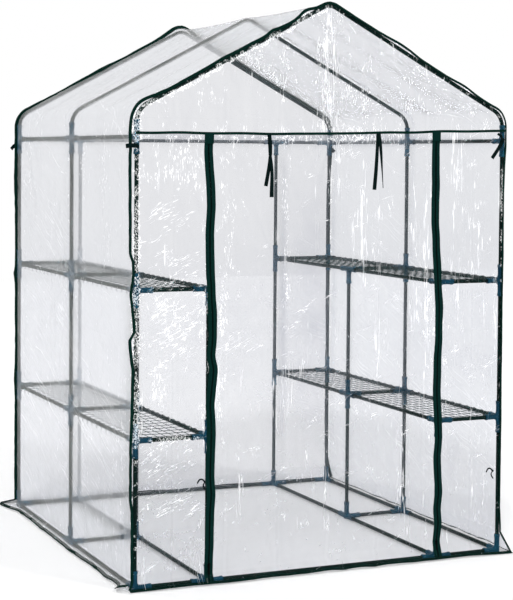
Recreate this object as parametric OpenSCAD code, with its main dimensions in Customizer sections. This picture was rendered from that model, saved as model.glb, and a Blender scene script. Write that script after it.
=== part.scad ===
// Walk-in greenhouse: push-fit steel tube frame, wire mesh shelves and a zipped film cover.
// Millimetres, +Z up. The origin is on the ground at the middle of the plan, and the door faces -Y.

/* [Frame] */
// Distance between the centres of the left and right corner posts
frame_w = 1390; // [1300:10:1700]
// Distance between the centres of the front and back corner posts
frame_d = 1390; // [1200:10:1900]
// Height of the eave tubes' centres above the ground
eave_h = 1488; // [1400:1:1600]
// Height above the eave tubes at which a post's line meets a rafter's line
eave_rise = 90; // [80:1:120]
// Slope of the roof in degrees
roof_pitch = 28; // [22:1:34]
// Outside diameter of the steel tubes
tube_d = 14; // [12:1:16]
// Centre-line radius of the bend where a roof hoop leaves its post
eave_bend_r = 70; // [50:5:80]
// Centre-line radius of the bend at a roof hoop's peak
peak_bend_r = 50; // [30:5:80]

/* [Connectors] */
// Outside diameter of a connector's sleeves
sleeve_d = 19; // [18:0.5:22]
// Length of a sleeve from the middle of its connector
sleeve_len = 57; // [45:1:65]
// Distance from the middle of a connector to the end of a tube pushed into it
tube_stop = 10; // [10:1:14]
// Clearance between a tube and the bore of its sleeve, on the radius
push_fit = 0.05; // [0.02:0.01:0.1]

/* [Shelves] */
// Distance between the centres of a shelf's outer and inner rails
shelf_depth = 255; // [220:5:280]
// Height of the lower shelf's rails
lower_shelf_h = 494; // [440:1:560]
// Height of the upper shelf's rails
upper_shelf_h = 987; // [900:1:1050]
// Thickness of the mesh wires
wire_t = 2.6; // [2:0.2:3]
// Number of wires across a mesh panel
cross_wires = 17; // [12:1:26]
// Number of wires along a mesh panel
long_wires = 8; // [5:1:9]

/* [Cover] */
// Thickness of the film panels
film_t = 1.5; // [1:0.1:2]
// Height at which the film begins to flare towards the ground
skirt_h = 120; // [80:5:200]
// How far the film flares out at the ground
skirt_flare = 22; // [10:1:30]
// Width of the zipped doorway between the zips' middles
doorway_w = 860; // [800:10:860]
// Width of a zip with its tapes
zip_w = 34; // [26:1:40]
// Height of the seam above the eave tubes, where the gable film meets the front panels
seam_rise = 28; // [20:1:40]
// Height of the binding round the film's bottom edge
hem_h = 10; // [6:1:14]
// How far the hem's corners reach from the middle, each way
hem_reach = 758; // [745:1:800]
// Width of the piping along the gable edges and the corners, and its depth
piping_d = 5; // [4:0.5:7]

/* [Ties] */
// Width of the ribbon ties
ribbon_w = 12; // [8:1:16]
// Length of the hanging door ties
ribbon_len = 205; // [150:5:260]
// Distance of the left door tie from the middle
left_tie_x = -230; // [-300:5:-150]
// Distance of the right door tie from the middle
right_tie_x = 185; // [150:5:300]

/* [Hidden] */
$fn = 48;

// Plan and levels
post_x = frame_w / 2;
post_y = frame_d / 2;
inner_x = post_x - shelf_depth;
base_z = sleeve_d / 2;
frames = [-post_y, 0, post_y];
levels = [base_z, lower_shelf_h, upper_shelf_h, eave_h];

// Roof hoop: bend ends and centres in the XZ plane
bend_turn = 90 - roof_pitch;
corner_z = eave_h + eave_rise;
bend_z = corner_z - eave_bend_r * tan(bend_turn / 2);
bend_x = post_x - eave_bend_r;
peak_z = corner_z + post_x * tan(roof_pitch);
peak_bend_z = peak_z - peak_bend_r / cos(roof_pitch);
arc_steps = 8;
hoop_sides = 20;

// Film faces, measured from the posts' centre lines
skin_in = sleeve_d / 2 + 1;
skin_out = skin_in + film_t;
skin_x = post_x + skin_out;
skin_y = post_y + skin_out;
seam_z = eave_h + seam_rise;
seam_h = 12;
zip_t = 4;
zip_x = doorway_w / 2;
gate_x = zip_x - zip_w / 2;
panel_x = zip_x + zip_w / 2;

// Mesh wires overhang the rails and clear the upright sleeves
wire_overhang = 9;
sleeve_clearance = 12;
wire_end_y = 5;
wire_gap = 2;

// Hem bands and ties
band_t = 5;
band_gap = 3;
hem_corner_len = 130;
ribbon_t = 1.2;
strand_gap = 9;
eave_tie_drop = 20;
eave_tie_len = 20;
low_tie_z = 250;
low_tie_len = 60;
low_tie_inset = 30;

UP = [0, 0, 1];
DOWN = [0, 0, -1];
LEFT = [-1, 0, 0];
RIGHT = [1, 0, 0];
FRONT = [0, -1, 0];
BACK = [0, 1, 0];

tube_green = [0.03, 0.17, 0.13];
connector_blue = [0.10, 0.32, 0.47];
wire_green = [0.10, 0.22, 0.20];
film_grey = [0.88, 0.89, 0.92, 0.35];
binding_green = [0.02, 0.13, 0.10];

// ---------- shared shapes ----------

// A straight round bar from point a to point b
module rod(a, b, d = tube_d) {
    v = b - a;
    translate(a)
        rotate([0, acos(v.z / norm(v)), atan2(v.y, v.x)])
            cylinder(h = norm(v), d = d);
}

// A tube whose two ends are pushed into connectors centred at a and b
module push_fit_tube(a, b) {
    way = (b - a) / norm(b - a);
    rod(a + way * tube_stop, b - way * tube_stop);
}

// A row of tubes from connector to connector
module tube_run(points) {
    for (i = [0 : len(points) - 2])
        push_fit_tube(points[i], points[i + 1]);
}

// A moulded connector with one blind sleeve for each way; a foot gives it a flat underside
module connector(at, ways, foot = false) {
    difference() {
        union() {
            translate(at) sphere(d = sleeve_d);
            for (way = ways)
                rod(at, at + way * sleeve_len, sleeve_d);
            if (foot)
                rod([at.x, at.y, 0], at, sleeve_d);
        }
        for (way = ways)
            rod(at + way * (tube_stop - 1), at + way * (sleeve_len + 1), tube_d + 2 * push_fit);
    }
}

// The direction from a post on this side towards the aisle, and away from it
function inwards(side) = side < 0 ? RIGHT : LEFT;
function outwards(side) = side < 0 ? LEFT : RIGHT;

// The ways along Y that a rail leaves a post standing in the frame at y
function along(y) = concat(y > -post_y ? [FRONT] : [], y < post_y ? [BACK] : []);

// Points on an arc in the XZ plane
function arc(cx, cz, r, from, to) =
    [for (i = [0 : arc_steps]) let (a = from + (to - from) * i / arc_steps)
        [cx + r * cos(a), cz + r * sin(a)]];

// Right half of the roof line at a distance outside the hoops' centre line
function roof_line(off) = concat(
    arc(bend_x, bend_z, eave_bend_r + off, 0, bend_turn),
    arc(0, peak_bend_z, peak_bend_r + off, bend_turn, 90));

function reversed(points) = [for (i = [len(points) - 1 : -1 : 0]) points[i]];
function mirrored(points) = [for (p = points) [-p.x, p.y]];

// An outline in the XZ plane, made into a plate from y0 to y1
module plate_y(y0, y1) {
    translate([0, y1, 0]) rotate([90, 0, 0]) linear_extrude(y1 - y0) children();
}

// An outline in the YZ plane, made into a plate from x0 to x1
module plate_x(x0, x1) {
    translate([x0, 0, 0]) rotate([90, 0, 90]) linear_extrude(x1 - x0) children();
}

// Section of a wall that hangs straight and flares at the bottom; its inner face is at `face`
module wall_section(face, top, t) {
    polygon([
        [face, top], [face + t, top], [face + t, skirt_h],
        [face + t + skirt_flare, hem_h], [face + skirt_flare, hem_h], [face, skirt_h]
    ]);
}

// ---------- frame ----------

module outer_post(side, y) {
    color(tube_green)
        tube_run([for (z = levels) [side * post_x, y, z]]);
}

// The front and middle inner posts end at the upper shelf, the back one at the eave bar
module inner_posts(side) {
    color(tube_green)
        for (y = frames)
            tube_run([for (z = levels) if (z < eave_h || y == post_y) [side * inner_x, y, z]]);
}

// Stations round an arc of the hoop: the centre line's X and Z, and the angle of its normal
function stations(cx, cz, r, from, to) =
    [for (i = [0 : arc_steps]) let (a = from + (to - from) * i / arc_steps)
        [cx + r * cos(a), cz + r * sin(a), a]];

// A hoop is one bent tube, swept ring by ring from its right foot over the peak to its left foot
module roof_hoop(y) {
    line = concat(
        [[post_x, eave_h + tube_stop, 0]],
        stations(bend_x, bend_z, eave_bend_r, 0, bend_turn),
        stations(0, peak_bend_z, peak_bend_r, bend_turn, 180 - bend_turn),
        stations(-bend_x, bend_z, eave_bend_r, 180 - bend_turn, 180),
        [[-post_x, eave_h + tube_stop, 180]]);
    rings = len(line);
    points = [for (s = line, j = [0 : hoop_sides - 1]) let (turn = 360 * j / hoop_sides)
        [s.x + tube_d / 2 * cos(turn) * cos(s.z), y + tube_d / 2 * sin(turn),
            s.y + tube_d / 2 * cos(turn) * sin(s.z)]];
    skin = [for (i = [0 : rings - 2], j = [0 : hoop_sides - 1]) let (k = (j + 1) % hoop_sides)
        [i * hoop_sides + j, (i + 1) * hoop_sides + j, (i + 1) * hoop_sides + k, i * hoop_sides + k]];
    foot = [for (j = [0 : hoop_sides - 1]) j];
    end = [for (j = [hoop_sides - 1 : -1 : 0]) (rings - 1) * hoop_sides + j];
    color(tube_green) polyhedron(points, concat(skin, [foot], [end]));
}

// A bar across the whole width in three tubes, joined at the inner posts
module cross_bar(y, z) {
    color(tube_green)
        tube_run([for (x = [-post_x, -inner_x, inner_x, post_x]) [x, y, z]]);
}

module long_rail(x, z) {
    tube_run([for (y = frames) [x, y, z]]);
}

// The rails along one side at the ground, tied across at the middle frame
module base_rails(side) {
    color(tube_green) {
        long_rail(side * post_x, base_z);
        long_rail(side * inner_x, base_z);
        push_fit_tube([side * inner_x, 0, base_z], [side * post_x, 0, base_z]);
    }
}

// The rails of one shelf, with a cross bar at each frame
module shelf_rails(side, z) {
    color(tube_green) {
        long_rail(side * post_x, z);
        long_rail(side * inner_x, z);
        for (y = frames)
            push_fit_tube([side * inner_x, y, z], [side * post_x, y, z]);
    }
}

module eave_rail(side) {
    color(tube_green) long_rail(side * post_x, eave_h);
}

// ---------- connectors ----------

// The bars along the ground at the front and back run on across the doorway and the aisle
module base_connectors() {
    color(connector_blue)
        for (side = [-1, 1], y = frames) {
            connector([side * post_x, y, base_z], concat([UP, inwards(side)], along(y)), foot = true);
            connector([side * inner_x, y, base_z],
                concat([UP, outwards(side)], y == 0 ? [] : [inwards(side)], along(y)), foot = true);
        }
}

module shelf_connectors(z, topmost) {
    color(connector_blue)
        for (side = [-1, 1], y = frames) {
            connector([side * post_x, y, z], concat([UP, DOWN, inwards(side)], along(y)));
            connector([side * inner_x, y, z],
                concat(topmost && y < post_y ? [] : [UP], [DOWN, outwards(side)], along(y)));
        }
}

module eave_connectors() {
    color(connector_blue)
        for (side = [-1, 1]) {
            for (y = frames)
                connector([side * post_x, y, eave_h],
                    concat([UP, DOWN], y == post_y ? [inwards(side)] : [], along(y)));
            connector([side * inner_x, post_y, eave_h], [DOWN, LEFT, RIGHT]);
        }
}

// ---------- shelves ----------

// One welded wire panel over the bay between y0 and y1, on the right-hand side
module mesh_panel(y0, y1, end0, end1, z) {
    x0 = inner_x + sleeve_clearance;
    x1 = post_x - sleeve_clearance;
    translate([0, 0, z + sleeve_d / 2])
        linear_extrude(wire_t) {
            for (i = [0 : cross_wires - 1])
                translate([inner_x - wire_overhang, y0 + (y1 - y0 - wire_t) * i / (cross_wires - 1)])
                    square([shelf_depth + 2 * wire_overhang, wire_t]);
            for (i = [0 : long_wires - 1])
                translate([x0 + (x1 - x0 - wire_t) * i / (long_wires - 1), end0])
                    square([wire_t, end1 - end0]);
        }
}

module mesh_shelf(side, z) {
    inner_end = sleeve_clearance;
    outer_end = post_y - sleeve_clearance;
    color(wire_green)
        mirror([side < 0 ? 1 : 0, 0, 0])
            for (bay = [0, 1])
                mirror([0, bay, 0])
                    mesh_panel(inner_end, outer_end, wire_gap, post_y + wire_end_y, z);
}

// ---------- cover ----------

module cover_wall(side) {
    color(film_grey)
        mirror([side < 0 ? 1 : 0, 0, 0])
            plate_y(-post_y - skin_in, post_y + skin_in)
                wall_section(post_x + skin_in, bend_z, film_t);
}

module cover_roof(side) {
    color(film_grey)
        mirror([side < 0 ? 1 : 0, 0, 0])
            plate_y(-post_y - skin_in, post_y + skin_in)
                polygon(concat(roof_line(skin_in), reversed(roof_line(skin_out))));
}

// The whole gable end above a level
module gable_outline(from) {
    line = roof_line(skin_out);
    polygon(concat([[skin_x, from]], line, reversed(mirrored(line)), [[-skin_x, from]]));
}

// A flaring strip of the front between x0 and x1; its back lies on `face`
module front_strip(x0, x1, top, t, face = post_y + skin_in) {
    mirror([0, 1, 0])
        plate_x(x0, x1) wall_section(face, top, t);
}

module cover_wall_back() {
    color(film_grey) {
        plate_y(post_y + skin_in, skin_y) gable_outline(skirt_h);
        plate_x(-skin_x, skin_x) wall_section(post_y + skin_in, skirt_h + 1, film_t);
    }
}

module cover_front_gable() {
    color(film_grey)
        plate_y(-skin_y, -post_y - skin_in) gable_outline(seam_z);
}

module cover_front_left() {
    color(film_grey) front_strip(-skin_x, -panel_x, seam_z, film_t);
}

module cover_front_right() {
    color(film_grey) front_strip(panel_x, skin_x, seam_z, film_t);
}

module door_panel() {
    color(film_grey) front_strip(-gate_x, gate_x, seam_z, film_t);
}

module door_zip(side) {
    color(binding_green)
        front_strip(side * zip_x - zip_w / 2, side * zip_x + zip_w / 2, seam_z - seam_h / 2, zip_t);
}

// ---------- binding ----------

module front_eave_seam() {
    color(binding_green)
        translate([-post_x, -skin_y - film_t, seam_z - seam_h / 2])
            cube([2 * post_x, film_t, seam_h]);
}

// Tape binding down one end's corners and over its gable edges, on the outside of the film
module gable_piping() {
    color(binding_green) {
        plate_y(-skin_y - piping_d, -skin_y)
            for (side = [0, 1])
                mirror([side, 0])
                    polygon(concat(roof_line(skin_out - piping_d), reversed(roof_line(skin_out))));
        for (side = [0, 1])
            mirror([side, 0, 0])
                front_strip(skin_x - piping_d, skin_x, bend_z, piping_d, skin_y);
    }
}

// One side's band along the ground, pulled out towards its corners
module hem_band(face, reach) {
    knee = reach - hem_corner_len;
    line = [[-reach, hem_reach], [-knee, face], [knee, face], [reach, hem_reach]];
    linear_extrude(hem_h)
        polygon(concat(
            [for (p = line) [p.x, p.y + band_t / 2]],
            reversed([for (p = line) [p.x, p.y - band_t / 2]])));
}

module hem_binding() {
    color(binding_green)
        for (turn = [0 : 3])
            rotate([0, 0, 90 * turn])
                hem_band(
                    (turn % 2 == 0 ? skin_y : skin_x) + skirt_flare,
                    turn % 2 == 0 ? hem_reach + band_t / 2 : hem_reach - band_t / 2 - band_gap);
}

// ---------- ties ----------

// Two strands of ribbon that hang side by side from the seam
module door_ties() {
    color(binding_green)
        for (x = [left_tie_x, right_tie_x], strand = [-1, 1])
            translate([x + strand * strand_gap - ribbon_w / 2, -skin_y - film_t - ribbon_t,
                    seam_z - ribbon_len])
                cube([ribbon_w, ribbon_t, ribbon_len]);
}

// Short straps: outside the film at the four eave corners, inside it low on the front posts
module corner_ties() {
    color(binding_green)
        for (side = [-1, 1]) {
            for (y = [-post_y, post_y])
                mirror([side < 0 ? 1 : 0, 0, 0])
                    translate([skin_x, y, eave_h - eave_tie_drop])
                        cube([eave_tie_len, ribbon_t, ribbon_w]);
            translate([side * (post_x - low_tie_inset) - ribbon_w / 2,
                    -post_y - skin_in + ribbon_t / 2, low_tie_z])
                cube([ribbon_w, ribbon_t, low_tie_len]);
        }
}

// ---------- assembly ----------

outer_post(-1, -post_y);  // post_front_left
outer_post(1, -post_y);  // post_front_right
outer_post(-1, 0);  // post_middle_left
outer_post(1, 0);  // post_middle_right
outer_post(-1, post_y);  // post_back_left
outer_post(1, post_y);  // post_back_right
inner_posts(-1);  // inner_posts_left
inner_posts(1);  // inner_posts_right
roof_hoop(-post_y);  // roof_hoop_front
roof_hoop(0);  // roof_hoop_middle
roof_hoop(post_y);  // roof_hoop_back
cross_bar(-post_y, base_z);  // base_bar_front
cross_bar(post_y, base_z);  // base_bar_back
base_rails(-1);  // base_rails_left
base_rails(1);  // base_rails_right
shelf_rails(-1, lower_shelf_h);  // lower_shelf_rails_left
shelf_rails(1, lower_shelf_h);  // lower_shelf_rails_right
shelf_rails(-1, upper_shelf_h);  // upper_shelf_rails_left
shelf_rails(1, upper_shelf_h);  // upper_shelf_rails_right
eave_rail(-1);  // eave_rail_left
eave_rail(1);  // eave_rail_right
cross_bar(post_y, eave_h);  // eave_bar_back
base_connectors();
shelf_connectors(lower_shelf_h, false);  // lower_shelf_connectors
shelf_connectors(upper_shelf_h, true);  // upper_shelf_connectors
eave_connectors();
mesh_shelf(-1, lower_shelf_h);  // lower_mesh_left
mesh_shelf(1, lower_shelf_h);  // lower_mesh_right
mesh_shelf(-1, upper_shelf_h);  // upper_mesh_left
mesh_shelf(1, upper_shelf_h);  // upper_mesh_right
cover_wall(-1);  // cover_wall_left
cover_wall(1);  // cover_wall_right
cover_roof(-1);  // cover_roof_left
cover_roof(1);  // cover_roof_right
cover_wall_back();
cover_front_gable();
cover_front_left();
cover_front_right();
door_panel();
door_zip(-1);  // door_zip_left
door_zip(1);  // door_zip_right
front_eave_seam();
gable_piping();  // front_piping
mirror([0, 1, 0]) gable_piping();  // back_piping
hem_binding();
door_ties();
corner_ties();
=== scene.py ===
"""Looks of a walk-in greenhouse: coated tubes, moulded connectors, wire shelves and a cover of clear film.

Lengths are metres, +Z is up and the door faces -Y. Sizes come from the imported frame; what the frame can't
say, such as how a sheet creases or a tape is stitched, is a field of the class that makes the piece.
"""

import logging
import math
from collections.abc import Callable
from dataclasses import dataclass
from enum import Enum
from functools import partial, reduce

import bmesh
import bpy
import numpy as np
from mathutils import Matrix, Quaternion, Vector


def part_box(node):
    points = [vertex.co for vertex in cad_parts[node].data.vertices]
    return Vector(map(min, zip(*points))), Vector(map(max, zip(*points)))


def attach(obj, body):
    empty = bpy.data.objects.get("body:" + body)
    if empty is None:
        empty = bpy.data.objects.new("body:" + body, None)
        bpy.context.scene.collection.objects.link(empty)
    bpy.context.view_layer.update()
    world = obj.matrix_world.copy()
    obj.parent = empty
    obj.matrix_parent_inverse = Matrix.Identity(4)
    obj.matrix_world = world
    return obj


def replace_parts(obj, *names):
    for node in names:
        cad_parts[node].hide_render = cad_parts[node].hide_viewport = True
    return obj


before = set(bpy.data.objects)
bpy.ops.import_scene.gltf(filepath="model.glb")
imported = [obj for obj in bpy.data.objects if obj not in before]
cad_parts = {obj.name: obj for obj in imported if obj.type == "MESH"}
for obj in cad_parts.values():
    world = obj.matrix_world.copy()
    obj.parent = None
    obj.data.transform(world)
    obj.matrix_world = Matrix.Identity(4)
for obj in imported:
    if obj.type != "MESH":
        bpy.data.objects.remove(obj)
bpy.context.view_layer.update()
LOG = logging.getLogger("greenhouse")
ROOT = "root"
Array = np.ndarray
Color = tuple[float, float, float]
Point = tuple[float, float, float]
Rows = tuple[tuple[float, ...], ...]
Span = Callable[[Array], tuple[Array, Array]]
Socket = bpy.types.NodeSocket
Inputs = dict[str | int, object]
Material = bpy.types.Material


class Side(Enum):
    """Left or right, as the sign of X."""

    LEFT = -1
    RIGHT = 1


class End(Enum):
    """Front or back, as the sign of Y."""

    FRONT = -1
    BACK = 1


Wall = Side | End


# ---------------------------------------------------------------- numbers and noise

HASH_STEPS = (374761393, 668265263, 974634777)
HASH_MIX = 1274126177
HASH_MASK = 0xFFFFFFFF
HASH_TOP = 0xFFFFFF


def ease(t: Array) -> Array:
    """Smoothstep of t, held within 0 and 1."""
    t = np.clip(t, 0.0, 1.0)
    return t * t * (3.0 - 2.0 * t)


def hump(t: Array, at: float, half: float) -> Array:
    """A bell of height 1 at `at` that has mostly gone at a distance of twice `half`."""
    return np.exp(-(((t - at) / half) ** 2))


def humps(rows: Rows, t: Array) -> Array:
    """Several bells together, each given as its place, half its length and its height."""
    return sum((height * hump(t, at, half) for at, half, height in rows), np.zeros_like(t))


def hashed(i: Array, j: Array, seed: int) -> Array:
    """A fixed random number from -1 to 1 for every pair of whole numbers.

    Args:
        i: Whole numbers.
        j: Whole numbers of the same shape.
        seed: Which of the random patterns.

    Returns:
        The numbers, of the same shape.
    """
    for_i, for_j, for_seed = HASH_STEPS
    n = (i.astype(np.int64) * for_i + j.astype(np.int64) * for_j + seed * for_seed) & HASH_MASK
    n = ((n ^ (n >> 13)) * HASH_MIX) & HASH_MASK
    return ((n ^ (n >> 16)) & HASH_TOP) / HASH_TOP * 2.0 - 1.0


def corners(u: Array, v: Array, seed: int) -> tuple[Array, Array, Array, Array, Array, Array]:
    """The four random values round each point, and where the point lies between them.

    Args:
        u: First coordinate, in cells.
        v: Second coordinate, in cells.
        seed: Which of the random patterns.

    Returns:
        The four values, then the place between them along u and v.
    """
    i, j = np.floor(u), np.floor(v)
    a, b = hashed(i, j, seed), hashed(i + 1, j, seed)
    c, d = hashed(i, j + 1, seed), hashed(i + 1, j + 1, seed)
    return a, b, c, d, u - i, v - j


def soft_noise(u: Array, v: Array, seed: int) -> Array:
    """Smooth noise from -1 to 1 with one random value per unit square.

    Args:
        u: First coordinate, in cells.
        v: Second coordinate, in cells.
        seed: Which of the random patterns.

    Returns:
        The noise at each place.
    """
    a, b, c, d, s, t = corners(u, v, seed)
    s, t = ease(s), ease(t)
    return (a * (1 - s) + b * s) * (1 - t) + (c * (1 - s) + d * s) * t


def wander(t: Array, seed: int) -> Array:
    """Smooth noise from -1 to 1 along a line."""
    return soft_noise(t, np.zeros_like(t), seed)


def wave(t: Array, height: float, pitch: float, seed: int) -> Array:
    """Smooth waves of the given height along a line, about a pitch apart."""
    return height * wander(t / pitch, seed)


def facet_noise(u: Array, v: Array, seed: int) -> Array:
    """Flat triangles with sharp folds between them, from -1 to 1.

    Args:
        u: First coordinate, in cells.
        v: Second coordinate, in cells.
        seed: Which of the random patterns.

    Returns:
        The height at each place.
    """
    a, b, c, d, s, t = corners(u, v, seed)
    lower = a + s * (b - a) + t * (c - a)
    upper = d + (1 - s) * (c - d) + (1 - t) * (b - d)
    return np.where(s + t < 1, lower, upper)


@dataclass(frozen=True)
class Crumple:
    """Creases of film that was once folded small: facets of a few sizes, each layer turned from the last.

    Args:
        along: Length of the largest facets, down the sheet.
        across: Width of the largest facets.
        depth: Height of the largest facets.
        seed: Which creases.
        turn: Turn of the first layer in degrees.
        layers: How many sizes of facet.
        twist: Turn of each layer from the last, in degrees.
        shrink: Size of each layer against the last.
        bend: How far the folds wander, in facets.
        calm: How slowly they wander.
    """

    along: float
    across: float
    depth: float
    seed: int
    turn: float = 12.0
    layers: int = 3
    twist: float = 47.0
    shrink: float = 0.45
    bend: float = 0.5
    calm: float = 0.7

    def height(self, u: Array, v: Array) -> Array:
        """Height of the creases.

        Args:
            u: Distance across the flat sheet.
            v: Distance down the flat sheet.

        Returns:
            The height at each point.
        """
        total = np.zeros_like(u)
        size, depth = 1.0, self.depth
        for layer in range(self.layers):
            turn = math.radians(self.turn + self.twist * layer)
            p = (u * math.cos(turn) + v * math.sin(turn)) / (self.across * size)
            q = (v * math.cos(turn) - u * math.sin(turn)) / (self.along * size)
            seed = self.seed + 11 * layer
            bent_p, bent_q = (way + self.bend * soft_noise(p * self.calm, q * self.calm, seed + k)
                              for way, k in ((p, 0), (q, 5)))
            total += depth * facet_noise(bent_p, bent_q, self.seed + 101 * layer)
            size, depth = size * self.shrink, depth * self.shrink
        return total


# ---------------------------------------------------------------- sizes


def middle(node: str) -> Vector:
    """Middle of a CAD node's box."""
    low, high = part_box(node)
    return (low + high) / 2


HEM_HALF = 0.003


@dataclass(frozen=True)
class Layout:
    """Where the frame's members are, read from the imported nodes.

    The roof's slope and bends are the frame's own, and the rest is measured.
    """

    post_x: float = middle("post_front_right").x
    post_y: float = middle("post_back_left").y
    inner_x: float = middle("inner_posts_right").x
    tube_r: float = (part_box("post_front_left")[1].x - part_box("post_front_left")[0].x) / 2
    base_z: float = middle("base_bar_front").z
    lower_z: float = middle("lower_shelf_rails_left").z
    upper_z: float = middle("upper_shelf_rails_left").z
    eave_z: float = middle("eave_rail_left").z
    peak_z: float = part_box("roof_hoop_front")[1].z
    seam_z: float = middle("front_eave_seam").z
    skin: float = middle("post_front_left").y - middle("cover_front_gable").y
    hem_reach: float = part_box("hem_binding")[1].y - HEM_HALF
    zip_x: float = middle("door_zip_right").x
    pitch: float = math.radians(28.0)
    eave_bend: float = 0.070
    peak_bend: float = 0.050
    sleeve_r: float = 0.0095
    sleeve_len: float = 0.057

    @property
    def wall(self) -> float:
        """Distance of the film's walls from the middle."""
        return self.post_x + self.skin

    @property
    def furthest(self) -> float:
        """How far outside the walls a corner of the hem can be pulled."""
        return self.hem_reach - self.post_x - self.skin

    @property
    def frames(self) -> tuple[float, float, float]:
        """Y of the front, middle and back frames."""
        return (-self.post_y, 0.0, self.post_y)

    @property
    def rails(self) -> tuple[float, float, float, float]:
        """Heights of the ground, shelf and eave rails."""
        return (self.base_z, self.lower_z, self.upper_z, self.eave_z)

    @property
    def peak_centre(self) -> float:
        """Height of the middle of the peak's bend."""
        return self.peak_z - self.tube_r - self.peak_bend

    @property
    def bend_x(self) -> float:
        """X of the middle of the eave's bend."""
        return self.post_x - self.eave_bend

    @property
    def bend_z(self) -> float:
        """Height at which a hoop leaves the post's line."""
        corner = self.peak_centre + self.peak_bend / math.cos(self.pitch) - self.post_x * math.tan(self.pitch)
        return corner - self.eave_bend * math.tan((math.pi / 2 - self.pitch) / 2)


@dataclass(frozen=True)
class Profile:
    """One half of the cover's section in the XZ plane, as a line from the ridge down to the ground.

    Args:
        at: The frame's sizes.
        off: Distance of the line outside the tubes' centres.
    """

    at: Layout
    off: float

    def line(self) -> tuple[Array, Array, Array]:
        """Stations with their X, Z and the turn of the normal, from the ridge to the ground.

        Returns:
            The four columns, one value a station.
        """
        bend = math.pi / 2 - self.at.pitch
        peak = np.linspace(math.pi / 2, bend, 13)
        eave = np.linspace(bend, 0.0, 25)
        top_r, eave_r = self.at.peak_bend + self.off, self.at.eave_bend + self.off
        x = np.r_[top_r * np.cos(peak), self.at.bend_x + eave_r * np.cos(eave), self.at.post_x + self.off]
        z = np.r_[self.at.peak_centre + top_r * np.sin(peak), self.at.bend_z + eave_r * np.sin(eave), 0.0]
        return x, z, np.r_[peak, eave, 0.0]

    @property
    def length(self) -> float:
        """Length of the line from the ridge to the ground."""
        x, z, _ = self.line()
        return float(np.hypot(np.diff(x), np.diff(z)).sum())

    @property
    def wall_start(self) -> float:
        """Length of the line above the straight wall."""
        return self.length - self.at.bend_z

    def sample(self, s: Array) -> tuple[Array, Array, Array, Array]:
        """X, Z and the normal's X and Z at distances s from the ridge.

        Args:
            s: Distances down the profile, in metres.

        Returns:
            The four values at each distance.
        """
        x, z, turn = self.line()
        run = np.r_[0.0, np.cumsum(np.hypot(np.diff(x), np.diff(z)))]
        angle = np.interp(s, run, turn)
        return np.interp(s, run, x), np.interp(s, run, z), np.cos(angle), np.sin(angle)


# ---------------------------------------------------------------- meshes

SHARP = math.radians(50.0)


def unit(rows: Array) -> Array:
    """Each row scaled to length 1."""
    return rows / np.maximum(np.linalg.norm(rows, axis=1, keepdims=True), 1e-9)


def slopes(path: Array) -> Array:
    """Unit tangent at each point of a path."""
    return unit(np.gradient(path, axis=0))


def spaced(path: Array, step: float) -> Array:
    """The same path with points about `step` apart.

    Args:
        path: Points of the path.
        step: Distance wanted between points, in metres.

    Returns:
        The new points.
    """
    run = np.r_[0.0, np.cumsum(np.linalg.norm(np.diff(path, axis=0), axis=1))]
    at = np.linspace(0.0, run[-1], max(2, int(round(run[-1] / step)) + 1))
    return np.stack([np.interp(at, run, path[:, k]) for k in range(3)], axis=1)


def linked(name: str, data: bpy.types.ID) -> bpy.types.Object:
    """A new object in the scene that shows the data.

    Args:
        name: Name of the object.
        data: Mesh, camera or lamp to show.

    Returns:
        The object.
    """
    thing = bpy.data.objects.new(name, data)
    bpy.context.scene.collection.objects.link(thing)
    return thing


def dressed(thing: bpy.types.Object, material: Material) -> bpy.types.Object:
    """Gives a piece its only material, and lets it ride on the frame.

    Args:
        thing: The finished piece.
        material: Its material.

    Returns:
        The piece.
    """
    thing.data.materials.clear()
    thing.data.materials.append(material)
    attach(thing, ROOT)
    LOG.info("%s: %d faces", thing.name, len(thing.data.polygons))
    return thing


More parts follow.
